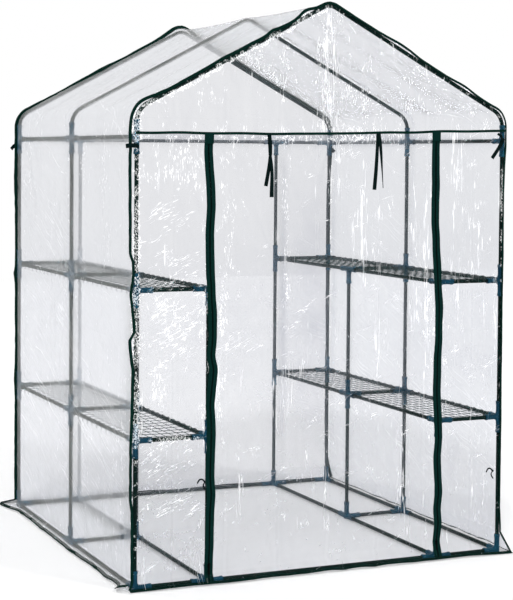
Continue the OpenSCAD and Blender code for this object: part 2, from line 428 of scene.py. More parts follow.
class Stock:
    """Faces that are gathered into one mesh.

    Each face keeps its corners' place on the flat piece, so that a weave follows the shape.
    """

    def __init__(self) -> None:
        """Starts with nothing."""
        self.verts: list[Point] = []
        self.faces: list[tuple[int, ...]] = []
        self.flat: list[tuple[float, float]] = []

    def add(self, points: Array, faces: list[tuple[int, ...]], flat: list[tuple[float, float]]) -> None:
        """Adds a closed shape.

        Args:
            points: Its vertices.
            faces: Its faces, as numbers of its own vertices.
            flat: A flat place for each corner of each face, in order.
        """
        first = len(self.verts)
        self.verts.extend(tuple(float(c) for c in p) for p in points)
        self.faces.extend(tuple(first + k for k in face) for face in faces)
        self.flat.extend(flat)

    def strip(self, path: Array, wide: Array, section: Array, taper: Array | float = 1.0) -> None:
        """Sweeps a closed section along a path and caps both ends.

        Args:
            path: Points of the middle line.
            wide: Unit direction of the section's width at each point.
            section: Corners of the section, as distances along the width and through the thickness.
            taper: Size of the section at each point.
        """
        rings, sides = len(path), len(section)
        through = unit(np.cross(slopes(path), wide))
        size = np.broadcast_to(taper, (rings,))[:, None, None]
        points = (path[:, None, :] + size * (wide[:, None, :] * section[None, :, :1]
                  + through[:, None, :] * section[None, :, 1:])).reshape(-1, 3)
        run = np.r_[0.0, np.cumsum(np.linalg.norm(np.diff(path, axis=0), axis=1))]
        edge = np.linalg.norm(np.roll(section, -1, axis=0) - section, axis=1)
        round_run = np.r_[0.0, np.cumsum(edge)]
        faces: list[tuple[int, ...]] = []
        flat: list[tuple[float, float]] = []
        for i in range(rings - 1):
            for j in range(sides):
                k = (j + 1) % sides
                faces.append((i * sides + j, i * sides + k, (i + 1) * sides + k, (i + 1) * sides + j))
                flat += [(run[i], round_run[j]), (run[i], round_run[j + 1]),
                         (run[i + 1], round_run[j + 1]), (run[i + 1], round_run[j])]
        last = (rings - 1) * sides
        faces.append(tuple(range(sides - 1, -1, -1)))
        faces.append(tuple(range(last, last + sides)))
        caps = [tuple(map(float, corner)) for corner in section]
        flat += caps[::-1] + caps
        self.add(points, faces, flat)

    def piece(self, name: str) -> bpy.types.Object:
        """The gathered faces as one smooth object.

        Args:
            name: Name of the object and its mesh.

        Returns:
            The object, in the scene.
        """
        mesh = bpy.data.meshes.new(name)
        mesh.from_pydata(self.verts, [], self.faces)
        layer = mesh.uv_layers.new(name="flat")
        layer.data.foreach_set("uv", np.array(self.flat, np.float32).ravel())
        mesh.shade_smooth()
        mesh.set_sharp_from_angle(angle=SHARP)
        return linked(name, mesh)


def rounded_bar(width: float, thick: float, base: float = 0.0) -> Array:
    """Section of a flat tape with round edges.

    Args:
        width: Full width.
        thick: Full thickness.
        base: Where the width starts; the tape lies from base to base + width.

    Returns:
        Eight corners, counter-clockwise.
    """
    w, t, c = width / 2, thick / 2, min(thick, width) * 0.3
    ring = [(-w + c, -t), (w - c, -t), (w, -t + c), (w, t - c),
            (w - c, t), (-w + c, t), (-w, t - c), (-w, -t + c)]
    return np.array(ring) + np.array([base + w, 0.0])


# ---------------------------------------------------------------- node trees

ORIGIN = (0.0, 0.0, 0.0)
SOCKETS = {float: "NodeSocketFloat", int: "NodeSocketInt", tuple: "NodeSocketVector"}
GEOMETRY = "NodeSocketGeometry"


class Canvas:
    """A node tree that is built up node by node."""

    def __init__(self, tree: bpy.types.NodeTree) -> None:
        """Works on the given tree."""
        self.tree = tree

    def feed(self, node: bpy.types.Node, values: Inputs) -> bpy.types.Node:
        """Sets inputs of a node.

        Args:
            node: The node.
            values: For each input socket, a constant, or an output socket to link from.

        Returns:
            The node.
        """
        for key, value in values.items():
            if isinstance(value, Socket):
                self.tree.links.new(value, node.inputs[key])
            else:
                node.inputs[key].default_value = value
        return node

    def add(self, kind: str, values: Inputs | None = None, **settings: object) -> bpy.types.Node:
        """Adds a node.

        Args:
            kind: Blender's name of the node.
            values: Its inputs, as feed() takes them.
            settings: Properties of the node itself.

        Returns:
            The node.
        """
        node = self.tree.nodes.new(kind)
        for key, value in settings.items():
            setattr(node, key, value)
        return self.feed(node, values or {})

    def math(self, operation: str, *values: object, clamp: bool = False) -> Socket:
        """Result of a Math node."""
        inputs = dict(enumerate(values))
        return self.add("ShaderNodeMath", inputs, operation=operation, use_clamp=clamp).outputs[0]

    def vector(self, operation: str, *values: object) -> Socket:
        """Result of a Vector Math node; SCALE takes a vector and a number."""
        keys = (0, "Scale") if operation == "SCALE" else (0, 1)
        return self.add("ShaderNodeVectorMath", dict(zip(keys, values)), operation=operation).outputs[0]

    def axes(self, x: object = 0.0, y: object = 0.0, z: object = 0.0) -> Socket:
        """A vector put together from its parts."""
        return self.add("ShaderNodeCombineXYZ", {0: x, 1: y, 2: z}).outputs[0]

    def noise(self, place: Socket, scale: object, detail: float, **more: float) -> bpy.types.NodeOutputs:
        """Outputs of a noise texture."""
        values = {"Vector": place, "Scale": scale, "Detail": detail, **more}
        return self.add("ShaderNodeTexNoise", values).outputs

    def ramp(self, value: Socket, low: object, high: object, first: object = 0.0, last: object = 1.0,
             kind: str = "SMOOTHSTEP") -> Socket:
        """A value carried from low..high to first..last, and held there outside them."""
        values = {"Value": value, "From Min": low, "From Max": high, "To Min": first, "To Max": last}
        return self.add("ShaderNodeMapRange", values, interpolation_type=kind).outputs[0]

    def seen(self) -> Socket:
        """1 for what shows straight on, mirrored or through the film, and 0 for light that only falls.

        Returns:
            The socket that carries the number.
        """
        path = self.add("ShaderNodeLightPath").outputs
        bent = self.math("MAXIMUM", path["Is Glossy Ray"], path["Is Transmission Ray"])
        return self.math("MAXIMUM", path["Is Camera Ray"], bent)


class Group(Canvas):
    """A node group with named inputs and outputs.

    Args:
        kind: Blender's name of the kind of tree.
        name: Name of the group.
        inputs: Default of each input, or the type of its socket where that has none.
        outputs: Type of each output's socket.
    """

    def __init__(self, kind: str, name: str, inputs: dict[str, object], outputs: dict[str, str]) -> None:
        """Starts the group and its sockets.

        Args:
            kind: Blender's type of node tree.
            name: Name of the group.
            inputs: Default of each input, by name.
            outputs: Socket type of each output, by name.
        """
        super().__init__(bpy.data.node_groups.new(name, kind))
        self.keys: dict[str, str] = {}
        for label, value in inputs.items():
            sort = value if isinstance(value, str) else SOCKETS[type(value)]
            socket = self.tree.interface.new_socket(label, in_out="INPUT", socket_type=sort)
            if sort is not value:
                socket.default_value = value
            self.keys[label] = socket.identifier
        for label, sort in outputs.items():
            self.tree.interface.new_socket(label, in_out="OUTPUT", socket_type=sort)
        self.given = self.tree.nodes.new("NodeGroupInput").outputs
        self.result = self.tree.nodes.new("NodeGroupOutput")


class GeometryTree(Group):
    """A geometry node tree that makes pieces along open lines.

    Args:
        name: Name of the tree.
        inputs: Default of each input between the lines and the material.
    """

    def __init__(self, name: str, inputs: dict[str, object]) -> None:
        """Starts the tree and its sockets.

        Args:
            name: Name of the group.
            inputs: Default of each input, by name.
        """
        inputs = {"Geometry": GEOMETRY, **inputs, "Material": "NodeSocketMaterial"}
        super().__init__("GeometryNodeTree", name, inputs, {"Geometry": GEOMETRY})
        self.curve = self.add("GeometryNodeMeshToCurve", {0: self.given["Geometry"]}).outputs[0]

    def swept(self, curve: Socket, ring: bpy.types.Node) -> Socket:
        """A rod along a curve, closed at both ends."""
        values = {"Curve": curve, "Profile Curve": ring.outputs[0], "Fill Caps": True}
        return self.add("GeometryNodeCurveToMesh", values).outputs[0]

    def row(self, thing: Socket, count: object, shift: Socket, start: object = ORIGIN) -> Socket:
        """A thing repeated in a straight row.

        Args:
            thing: Geometry to repeat.
            count: How many.
            shift: Step from one to the next.
            start: Place of the first.

        Returns:
            The instances.
        """
        places = self.add("GeometryNodeMeshLine", {"Count": count, "Start Location": start, "Offset": shift})
        values = {"Points": places.outputs[0], "Instance": thing}
        return self.add("GeometryNodeInstanceOnPoints", values).outputs[0]

    def finish(self, *geometry: Socket) -> "GeometryTree":
        """Joins the results, realises the instances and sets the material.

        Args:
            *geometry: Results to join.

        Returns:
            The tree itself.
        """
        joined = self.tree.nodes.new("GeometryNodeJoinGeometry")
        for socket in geometry:
            self.tree.links.new(socket, joined.inputs[0])
        real = self.add("GeometryNodeRealizeInstances", {0: joined.outputs[0]})
        smooth = self.add("GeometryNodeSetShadeSmooth", {0: real.outputs[0]})
        values = {"Geometry": smooth.outputs[0], "Material": self.given["Material"]}
        self.feed(self.result, {0: self.add("GeometryNodeSetMaterial", values).outputs[0]})
        return self

    def grow(self, name: str, paths: list[Array], values: dict[str, object]) -> bpy.types.Mesh:
        """Runs the tree on open lines and returns the result as a plain mesh.

        Args:
            name: Name of the mesh.
            paths: The lines that the tree works on.
            values: The tree's inputs by name.

        Returns:
            The mesh, with no modifier left.
        """
        seed = bpy.data.meshes.new(name)
        counts = np.cumsum([0] + [len(p) for p in paths])
        edges = [(k, k + 1) for a, b in zip(counts[:-1], counts[1:]) for k in range(a, b - 1)]
        seed.from_pydata(np.concatenate(paths).tolist(), edges, [])
        host = linked(name + "_seed", seed)
        modifier = host.modifiers.new("grow", "NODES")
        modifier.node_group = self.tree
        for label, value in values.items():
            modifier[self.keys[label]] = value
        graph = bpy.context.evaluated_depsgraph_get()
        mesh = bpy.data.meshes.new_from_object(host.evaluated_get(graph), depsgraph=graph)
        bpy.data.objects.remove(host)
        mesh.name = name
        return mesh


def beads_tree() -> GeometryTree:
    """Beads in a row along each line: stitches, or the teeth of a zip.

    Returns:
        The finished tree.
    """
    tree = GeometryTree("beads_along_path", {
        "Pitch": 0.004, "Size": (0.001, 0.001, 0.003), "Sides": 6, "Loose": 0.0, "Seed": 1})
    given = tree.given
    points = tree.add("GeometryNodeCurveToPoints", {"Curve": tree.curve, "Length": given["Pitch"]},
                      mode="LENGTH")
    bead = tree.add("GeometryNodeMeshUVSphere", {"Segments": given["Sides"], "Rings": 4, "Radius": 0.5})
    spread = tree.vector("SCALE", (1.0, 1.0, 1.0), given["Loose"])
    limits = {"Min": tree.vector("SCALE", spread, -1.0), "Max": spread, "Seed": given["Seed"]}
    wobble = tree.add("FunctionNodeRandomValue", limits, data_type="FLOAT_VECTOR")
    as_turn = tree.add("FunctionNodeEulerToRotation", {0: wobble.outputs["Value"]})
    turned = tree.add("FunctionNodeRotateRotation", {0: points.outputs["Rotation"], 1: as_turn.outputs[0]},
                      rotation_space="LOCAL")
    placed = tree.add("GeometryNodeInstanceOnPoints", {
        "Points": points.outputs["Points"], "Instance": bead.outputs["Mesh"],
        "Rotation": turned.outputs[0], "Scale": given["Size"]})
    return tree.finish(placed.outputs[0])


def wires_tree() -> GeometryTree:
    """A welded panel: the given bent wire repeated along Y, and straight wires laid across them.

    Returns:
        The finished tree.
    """
    tree = GeometryTree("welded_wire_panel", {
        "Radius": 0.0012, "Cross Count": 17, "Cross Pitch": 0.04, "Long Count": 8, "Long Pitch": 0.03,
        "Long Start": ORIGIN, "Long Length": 0.7, "Edge Shift": ORIGIN, "Edge Start": ORIGIN})
    given = tree.given
    ring = tree.add("GeometryNodeCurvePrimitiveCircle", {"Resolution": 7, "Radius": given["Radius"]})
    cross = tree.row(tree.swept(tree.curve, ring), given["Cross Count"], tree.axes(y=given["Cross Pitch"]))
    line = tree.add("GeometryNodeCurvePrimitiveLine", {"End": tree.axes(y=given["Long Length"])})
    rod = tree.swept(line.outputs[0], ring)
    aside = tree.axes(x=given["Long Pitch"])
    return tree.finish(cross, tree.row(rod, given["Long Count"], aside, given["Long Start"]),
                       tree.row(rod, 2, given["Edge Shift"], given["Edge Start"]))


# ---------------------------------------------------------------- the cover's lines

SKIRT = 0.075
SHORT_SKIRT = 0.028
FLARE = 0.024
CORNER_SPAN = 0.15
HEM_LIFT = 0.006
RIDGE_SOFT = 0.05
RIM_STATIONS = 400
RIM_REACH = 0.03
SEAM_ASKEW = ((-0.7, -0.0148), (-0.3, -0.0133), (0.0, -0.0113), (0.27, -0.003), (0.43, 0.003), (0.7, 0.0093))
LOOSE = ((1.7, 0.0), (1.6, 0.01), (1.5, 0.017), (1.107, 0.016), (1.08, 0.005), (1.035, 0.004),
         (0.976, 0.012), (0.867, 0.0), (0.851, 0.0), (0.825, 0.016), (0.8, 0.014), (0.73, 0.003),
         (0.455, 0.01), (0.304, 0.011), (0.26, 0.004), (0.0, 0.004))
LIFTED = ((1.66, 0.0), (1.6, 0.004), (1.47, 0.002), (1.38, -0.004), (1.3, -0.008), (0.16, -0.007),
          (0.09, 0.0), (0.0, 0.0))
SLACK = ((1.4, -0.002), (1.34, 0.002), (1.2, -0.004), (0.98, -0.004), (0.95, 0.002), (0.9, -0.004),
         (0.6, -0.004), (0.52, 0.0), (0.44, -0.004), (0.0, -0.003))


def skirt(z: Array, height: Array | float = SKIRT) -> Array:
    """How much of a flare of the given height the film has at z: none above it, all at the ground."""
    return np.clip(1.0 - z / height, 0.0, 1.0)


@dataclass(frozen=True)
class Rim:
    """The bound edge where the cover's side meets one of its ends, from the ridge down to the ground.

    Args:
        at: The frame's sizes.
        side: Which side.
        end: Which end.
        seed: Which small waves the edge has.
        kinks: Heights at which it bends on the wall, from the top down, and how far it stands off there.
        bulges: Where it stands off smoothly: distance from the ridge, half the length, and how far.
        spread: How far its foot is pulled out, of its furthest.
        curl: Height of the corner above the ground.
        fin: How far the bound edge points away from the end wall, of its way out from the side.
        height: How high its flare reaches.
        hug: How much nearer than the film the edge lies to its tube.
        ripple: Height of the edge's small waves, and their pitch.
        waver: How far its direction wavers, and the pitch of that.
        drawn: How far the end's film is drawn out where the edge lies inwards, of how far that is.
        lifted: The same where the edge stands off.
    """

    at: Layout
    side: Side
    end: End
    seed: int
    kinks: Rows
    bulges: Rows
    spread: float
    curl: float = 0.0
    fin: float = 0.45
    height: float = SKIRT
    hug: float = 0.0036
    ripple: tuple[float, float] = (0.0009, 0.07)
    waver: tuple[float, float] = (0.25, 0.16)
    drawn: float = -0.65
    lifted: float = 0.15

    @property
    def profile(self) -> Profile:
        """The section that the edge follows."""
        return Profile(self.at, self.at.skin)

    def stand_off(self, s: Array) -> Array:
        """How far the edge stands off at distances s from the ridge.

        Args:
            s: Distances down the profile, in metres.

        Returns:
            Metres off the wall.
        """
        heights, reaches = zip(*self.kinks)
        out = humps(self.bulges, s) + np.interp(s, self.profile.length - np.array(heights), reaches)
        return out + wave(s, *self.ripple, self.seed) * ease(s / RIDGE_SOFT)

    def off_end(self, s: Array) -> Array:
        """How far the edge lies outside the end wall's film."""
        out = self.stand_off(s)
        return np.where(out < 0.0, self.drawn, self.lifted) * out - self.hug

    def points(self, s: Array) -> Array:
        """The edge at distances s from the ridge.

        Args:
            s: Distances down the profile, in metres.

        Returns:
            One point a distance.
        """
        x, z, nx, nz = self.profile.sample(s)
        out = self.stand_off(s) - self.hug
        low = skirt(z, self.height)
        pull = self.spread * self.at.furthest * low
        sx, sy = self.side.value, self.end.value
        y = self.at.post_y + self.at.skin + pull + self.off_end(s)
        lifted = z + nz * out + (HEM_LIFT + self.curl) * low
        return np.stack([sx * (x + nx * out + pull), sy * y, lifted], axis=1)

    def outwards(self, s: Array) -> Array:
        """Direction in which the bound edge stands out.

        Args:
            s: Distances down the profile, in metres.

        Returns:
            One unit vector a distance.
        """
        _, _, nx, nz = self.profile.sample(s)
        below = ease(s / RIDGE_SOFT)
        nx, nz = nx * below, np.maximum(nz, 1.0 - below)
        turn = wave(s, *self.waver, self.seed + 40)
        return unit(np.stack([self.side.value * nx, self.end.value * (self.fin + turn), nz], axis=1))


@dataclass(frozen=True)
class Hem:
    """The bottom edge of one wall. Places along it run from -1 to 1.

    Args:
        at: The frame's sizes.
        seed: Which waves the edge has.
        rims: The bound edges at its two corners.
        curls: Where the edge curls up off the ground: place, half the length, and how high.
        flaps: Where it is drawn further out.
        waves: Its waves in and out: how far, and how many to half the wall.
        rise: Height of its middle above the ground, the height of the waves there, and how many.
    """

    at: Layout
    seed: int
    rims: tuple[Rim, ...]
    curls: Rows = ()
    flaps: Rows = ()
    waves: Rows = ((0.005, 4.0), (0.002, 17.0))
    rise: tuple[float, float, float] = (0.003, 0.004, 6.0)

    def low(self, t: Array, z: Array) -> Array:
        """How much of the flare the film has at places t and heights z."""
        return skirt(z, np.interp(t, (-1.0, 1.0), [rim.height for rim in self.rims]))

    def near_corner(self, t: Array) -> Array:
        """0 along the wall, rising to 1 at its ends."""
        return ease((np.abs(t) * self.at.wall - (self.at.wall - CORNER_SPAN)) / CORNER_SPAN)

    def pull(self, t: Array) -> Array:
        """How far the nearer corner is pulled out."""
        return self.at.furthest * np.where(t < 0.0, *(rim.spread for rim in self.rims))

    def out(self, t: Array) -> Array:
        """How far the edge lies outside the wall's line.

        Args:
            t: Places along the wall, from -1 to 1.

        Returns:
            Metres outside the line.
        """
        near = self.near_corner(t)
        waves = sum(reach * wander(t * count, self.seed + k) for k, (reach, count) in enumerate(self.waves))
        return FLARE + (self.pull(t) - FLARE) * near + waves * (1.0 - near) + humps(self.flaps, t)

    def lift(self, t: Array) -> Array:
        """Height of the edge above the ground.

        Args:
            t: Places along the wall, from -1 to 1.

        Returns:
            The heights, in metres.
        """
        least, more, count = self.rise
        waves = least + more * np.abs(wander(t * count, self.seed + 2))
        return HEM_LIFT + waves * (1.0 - self.near_corner(t)) + humps(self.curls, t)


class CoverLines:
    """The lines that the sheets share, so that their edges meet."""

    def __init__(self, at: Layout) -> None:
        """Sets out the rims and hems.

        Args:
            at: The frame's sizes.
        """
        self.at = at
        rims = (
            Rim(at, Side.LEFT, End.FRONT, 3, LOOSE,
                ((0.1, 0.035, 0.012), (0.24, 0.02, 0.006), (0.45, 0.05, 0.003)),
                spread=0.25, fin=0.15, height=SHORT_SKIRT),
            Rim(at, Side.RIGHT, End.FRONT, 4, LIFTED, ((0.31, 0.06, 0.006), (0.6, 0.05, 0.005)),
                spread=0.55, fin=-0.7),
            Rim(at, Side.LEFT, End.BACK, 5, SLACK, ((0.0, 0.08, 0.014), (0.4, 0.06, 0.004)),
                spread=1.0, curl=0.002, height=SHORT_SKIRT),
            Rim(at, Side.RIGHT, End.BACK, 6, LIFTED, ((0.0, 0.07, 0.014), (0.3, 0.06, 0.005)), spread=0.7))
        self.rims = {(rim.side, rim.end): rim for rim in rims}
        flapping = {Side.LEFT: (((-1.0, 0.05, 0.02),), ((-0.955, 0.045, 0.036),))}
        self.hems: dict[Wall, Hem] = {}
        for seed, wall in enumerate((*Side, *End), start=21):
            pair = tuple(rim for rim in rims if wall in (rim.side, rim.end))
            self.hems[wall] = Hem(at, seed, pair, *flapping.get(wall, ()))

    def hem_path(self, wall: Wall, t: Array) -> Array:
        """Bottom edge of a wall at places t, from -1 to 1.

        Args:
            wall: The wall.
            t: Places along it.

        Returns:
            One point a place.
        """
        hem = self.hems[wall]
        out = wall.value * (self.at.wall + hem.out(t))
        along = t * (self.at.wall + hem.pull(t) * hem.near_corner(t))
        ends = [out, along] if isinstance(wall, Side) else [along, out]
        return np.stack([*ends, hem.lift(t)], axis=1)

    def seam(self, x: Array) -> Array:
        """Height of the seam over the door above places x: it was sewn a little askew."""
        return self.at.seam_z + np.interp(x, *zip(*SEAM_ASKEW))

    def corner_x(self, side: Side, end: End, z: Array) -> Array:
        """X of a corner's edge at heights z on the wall.

        Args:
            side: Side of the corner.
            end: End of the corner.
            z: Heights, in metres.

        Returns:
            One X a height.
        """
        rim = self.rims[side, end]
        line = rim.points(np.linspace(rim.profile.wall_start, rim.profile.length, RIM_STATIONS))
        return np.interp(z, line[::-1, 2], line[::-1, 0])

    def roof_z(self, end: End, x: Array) -> Array:
        """Height of an end's roof edge above places x.

        Args:
            end: Front or back.
            x: Places across, in metres.

        Returns:
            One height a place.
        """
        left, right = (rim.points(np.linspace(0.0, rim.profile.wall_start + 0.01, RIM_STATIONS))
                       for rim in (self.rims[side, end] for side in Side))
        both = np.concatenate([left[::-1], right])
        return np.interp(x, both[:, 0], both[:, 2])

    def end_y(self, end: End, x: Array, z: Array) -> Array:
        """Y of an end wall's smooth surface, drawn out to the rims where they stand off.

        Args:
            end: Front or back.
            x: Places across, in metres.
            z: Heights, in metres.

        Returns:
            One Y for every pair.
        """
        t = np.clip(x / self.at.wall, -1.0, 1.0)
        out = self.at.skin + self.hems[end].out(t) * self.hems[end].low(t, z)
        for side in Side:
            rim = self.rims[side, end]
            run = np.linspace(0.0, rim.profile.length, int(1.5 * RIM_STATIONS))
            on_roof = np.interp(np.abs(x), np.abs(rim.points(run)[:, 0]), run)
            s = np.where(z < self.at.bend_z, rim.profile.length - z, on_roof)
            away = np.minimum(self.roof_z(end, x) - z, np.abs(self.corner_x(side, end, z) - x))
            own = np.where(x * side.value >= 0.0, 1.0, 0.0)
            out = out + rim.off_end(s) * hump(away, 0.0, RIM_REACH) * own
        return end.value * (self.at.post_y + out)


# ---------------------------------------------------------------- sheets of film


@dataclass(frozen=True)
class Fan:
    """Folds that run out from a point where the film is pulled.

    Args:
        u: Where the point is across the flat sheet.
        v: Where it is down the flat sheet.
        reach: How far the folds run.
        folds: How many folds a full turn would have.
        depth: Their height.
        seed: Which folds.
        breaks: How often a fold breaks off over the reach.
        still: How near to the point the film is still flat.
    """

    u: float
    v: float
    reach: float
    folds: float
    depth: float
    seed: int
    breaks: float = 0.6
    still: float = 0.03

    def height(self, u: Array, v: Array) -> Array:
        """Height of the folds over the flat sheet.

        Args:
            u: First flat coordinate, in metres.
            v: Second flat coordinate, in metres.

        Returns:
            The height at each place, in metres.
        """
        away = np.hypot(u - self.u, v - self.v)
        turn = np.arctan2(v - self.v, u - self.u) / (2 * math.pi) * self.folds
        ridge = 1.0 - 2.0 * np.abs(soft_noise(turn, away / self.reach * self.breaks, self.seed))
        return self.depth * ridge * np.exp(-((away / self.reach) ** 2)) * ease(away / self.still)


class Mark(Enum):
    """Kinds of crease in the film, and one of painted sheen and shade, each named as its attribute on the
    mesh.

    Every crease kind also places painted glints on the film.
    """

    FINE = "fine"
    SLANT = "slant"
    LONG = "long"
    # Film lying on a tube: its painted glints are a dense speckle.
    TOUCH = "touch"
    # Not a crease: painted sheen and shade, as extra haze that darkens broad bands of film and pales the dark
    # tubes behind it where a sheen falls.
    VEIL = "veil"


Regions = dict[Mark, Rows]
PATCH = (0.05, 0.035)
AREA = (0.22, 0.3)
CREASED = 1.12
TIED_HALF = 0.022
SEWN = 0.03


@dataclass
class Film:
    """What every sheet of the cover has in common: how it creases, and how it becomes a piece.

    Args:
        lines: The cover's shared lines.
        name: Name of the piece.
        nodes: The CAD nodes that it stands for.
        flat: Width and length of the flat sheet; not used.
        crumples: Its facets.
        fans: Its pulled folds.
        unrest: Where it is creased more than elsewhere, with more painted glints, or has painted sheen and
        shade, and how: across, down, half the width, half the length, and how much is added, up to 1.
        calm: Creasing of each kind away from those regions.
        area: Area of the cut where it isn't a rectangle; not used.
        fold_pitch: Distance between the creases across the sheet from its packing, each way.
        fold_depth: Height of those creases.
        fold_half: How far each reaches to either side.
        least: Height of the facets where the film is least creased, of their own.
    """

    lines: CoverLines
    name: str
    nodes: tuple[str, ...]
    flat: tuple[float, float]
    crumples: tuple[Crumple, ...]
    fans: tuple[Fan, ...]
    unrest: Regions
    calm: tuple[float, ...] = (0.24, 0.22, 0.30)
    area: float | None = None
    fold_pitch: tuple[float, float] = (0.19, 0.31)
    fold_depth: float = 0.0012
    fold_half: float = 0.02
    least: float = 0.35

    def creasing(self, u: Array, v: Array) -> dict[Mark, Array]:
        """How creased the film is in each way, and how much painted glint, sheen and shade it has, from 0 to
        1.

        Args:
            u: First flat coordinate, in metres.
            v: Second flat coordinate, in metres.

        Returns:
            One map of amounts for each mark.
        """
        calm = dict(zip(Mark, self.calm))
        patches = 0.85 + 0.3 * soft_noise(u / PATCH[0], v / PATCH[1], 72)
        levels = {}
        for number, kind in enumerate(Mark):
            level = calm.get(kind, 0.0) * (1.0 + 0.6 * soft_noise(u / AREA[0], v / AREA[1], 71 + number))
            level = level + sum(amount * np.exp(-(((u - x) / half_u) ** 2 + ((v - y) / half_v) ** 2))
                                for x, y, half_u, half_v, amount in self.unrest.get(kind, ()))
            levels[kind] = np.clip(level * patches * CREASED, 0.0, 1.0)
        return levels

    def relief(self, u: Array, v: Array, levels: dict[Mark, Array]) -> Array:
        """Height of all creases over the flat sheet.

        Args:
            u: First flat coordinate, in metres.
            v: Second flat coordinate, in metres.
            levels: How creased it is in each way.

        Returns:
            The height at each place, in metres.
        """
        level = np.maximum(levels[Mark.FINE], levels[Mark.SLANT])
        height = sum(crumple.height(u, v) for crumple in self.crumples) * (self.least + level)
        height = height + sum((fan.height(u, v) for fan in self.fans), np.zeros_like(u))
        for run, pitch in zip((u, v), self.fold_pitch):
            place = run / pitch
            peak = 1.0 - 2.0 * np.abs(place - np.floor(place) - 0.5)
            way = np.where(np.floor(place) % 2 == 0, 1.0, -1.0)
            height = height + way * self.fold_depth * ease(1.0 - peak * pitch / self.fold_half)
        return height

    def finish(self, points: Array, flat: Array, levels: dict[Mark, Array], flip: bool, material: Material,
               rests_on: list[str]) -> None:
        """Makes the grid of points into an open sheet, dresses it and hides the nodes it stands for.

        Args:
            points: Rows and columns of points.
            flat: The same for the flat sheet.
            levels: The creasing of each kind.
            flip: True where the rows and columns would face inwards.
            material: Its material.
            rests_on: The nodes that carry it; not used.
        """
        rows, columns = points.shape[:2]
        k = np.arange(rows * columns).reshape(rows, columns)
        quads = np.stack([k[:-1, :-1], k[:-1, 1:], k[1:, 1:], k[1:, :-1]], axis=-1).reshape(-1, 4)
        quads = quads[:, ::-1] if flip else quads
        mesh = bpy.data.meshes.new(self.name)
        mesh.vertices.add(rows * columns)
        mesh.vertices.foreach_set("co", points.astype(np.float32).ravel())
        mesh.loops.add(quads.size)
        mesh.loops.foreach_set("vertex_index", quads.astype(np.int32).ravel())
        mesh.polygons.add(len(quads))
        mesh.polygons.foreach_set("loop_start", np.arange(0, quads.size, 4, dtype=np.int32))
        mesh.update(calc_edges=True)
        mesh.validate()
        layer = mesh.uv_layers.new(name="flat")
        layer.data.foreach_set("uv", flat.reshape(-1, 2)[quads.ravel()].astype(np.float32).ravel())
        for kind, level in levels.items():
            mark = mesh.attributes.new(kind.value, "FLOAT", "POINT")
            mark.data.foreach_set("value", level.astype(np.float32).ravel())
        mesh.shade_smooth()
        thing = dressed(linked(self.name, mesh), material)
        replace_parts(thing, *self.nodes)


@dataclass
class SideFilm(Film):
    """The film over one wall and its roof slope, from the ridge down to the ground.

    Args:
        side: Which side.
        step: Distance between points.
        roof_sag: How far the roof sags between two hoops.
        wall_give: How far the wall gives inwards between two posts.
        tight: How far in from a corner the film follows the rim where that is drawn in.
        loose: The same where the rim stands off.
        drape: Height of the long waves between the posts.
        held: How much of an inward crease a rail takes away.
    """

    side: Side = Side.LEFT
    step: float = 0.008
    roof_sag: float = 0.014
    wall_give: float = 0.007
    tight: float = 0.014
    loose: float = 0.045
    drape: float = 0.0045
    held: float = 0.92

    def build(self, material: Material) -> None:
        """Builds and dresses the sheet.

        Args:
            material: Look of the film.
        """
        at, hem = self.lines.at, self.lines.hems[self.side]
        profile = Profile(at, at.skin)
        reach = at.post_y + at.skin
        s1 = np.linspace(0.0, profile.length, int(profile.length / self.step) + 1)
        t1 = np.linspace(-1.0, 1.0, int(2 * reach / self.step) + 1)
        s, t = np.meshgrid(s1, t1, indexing="ij")
        x, z, nx, nz = profile.sample(s)
        y = t * reach
        low, near = hem.low(t, z), hem.near_corner(t)
        levels = self.creasing(y, s)
        bay = np.abs(np.sin(math.pi * y / at.post_y)) ** 0.75
        on_roof = ease((profile.wall_start - s) / 0.12)
        mid_slope = 0.45 + 0.55 * np.sin(math.pi * np.clip(s / profile.wall_start, 0.0, 1.0))
        uneven = 0.6 + 0.4 * soft_noise(y / 0.5, z / 0.6, 31)
        give = -self.roof_sag * bay * on_roof * mid_slope
        give += -self.wall_give * bay * (1.0 - on_roof) * (1.0 - low) * uneven
        drape = self.drape * soft_noise(y / 0.13, z / 0.8 + y * 0.6, 33) * bay
        fixed = np.maximum.reduce([hump(z, rail, TIED_HALF) for rail in at.rails[1:]]) * (1.0 - on_roof)
        fixed = np.maximum(fixed, 1.0 - ease(bay / 0.35))
        out = give * (1.0 - fixed) + drape + self.relief(y, s, levels)
        out = np.where(out < 0.0, out * (1.0 - self.held * fixed), out)
        ridge = 0.25 + 0.75 * ease(s / RIDGE_SOFT)
        out = out * ridge + np.where(s < RIDGE_SOFT, give, out) * (1.0 - ridge)
        out = ease((1.0 - np.abs(t)) * reach / SEWN) * out
        px = self.side.value * (x + hem.out(t) * low + nx * out)
        py = t * (reach + hem.pull(t) * near * low)
        points = np.stack([px, py, z + nz * out + hem.lift(t) * low], axis=-1)
        for end, column in ((End.FRONT, 0), (End.BACK, -1)):
            shift = self.lines.rims[self.side, end].points(s1) - points[:, column, :]
            half = np.where((shift[:, :1] * self.side.value) < -0.001, self.tight, self.loose)
            points += shift[:, None, :] * hump((t - end.value) * reach, 0.0, half)[..., None]
        self.finish(points, np.stack([y, s], axis=-1), levels, self.side is Side.RIGHT, material,
                    ["roof_hoop_front", "roof_hoop_middle", "roof_hoop_back"])


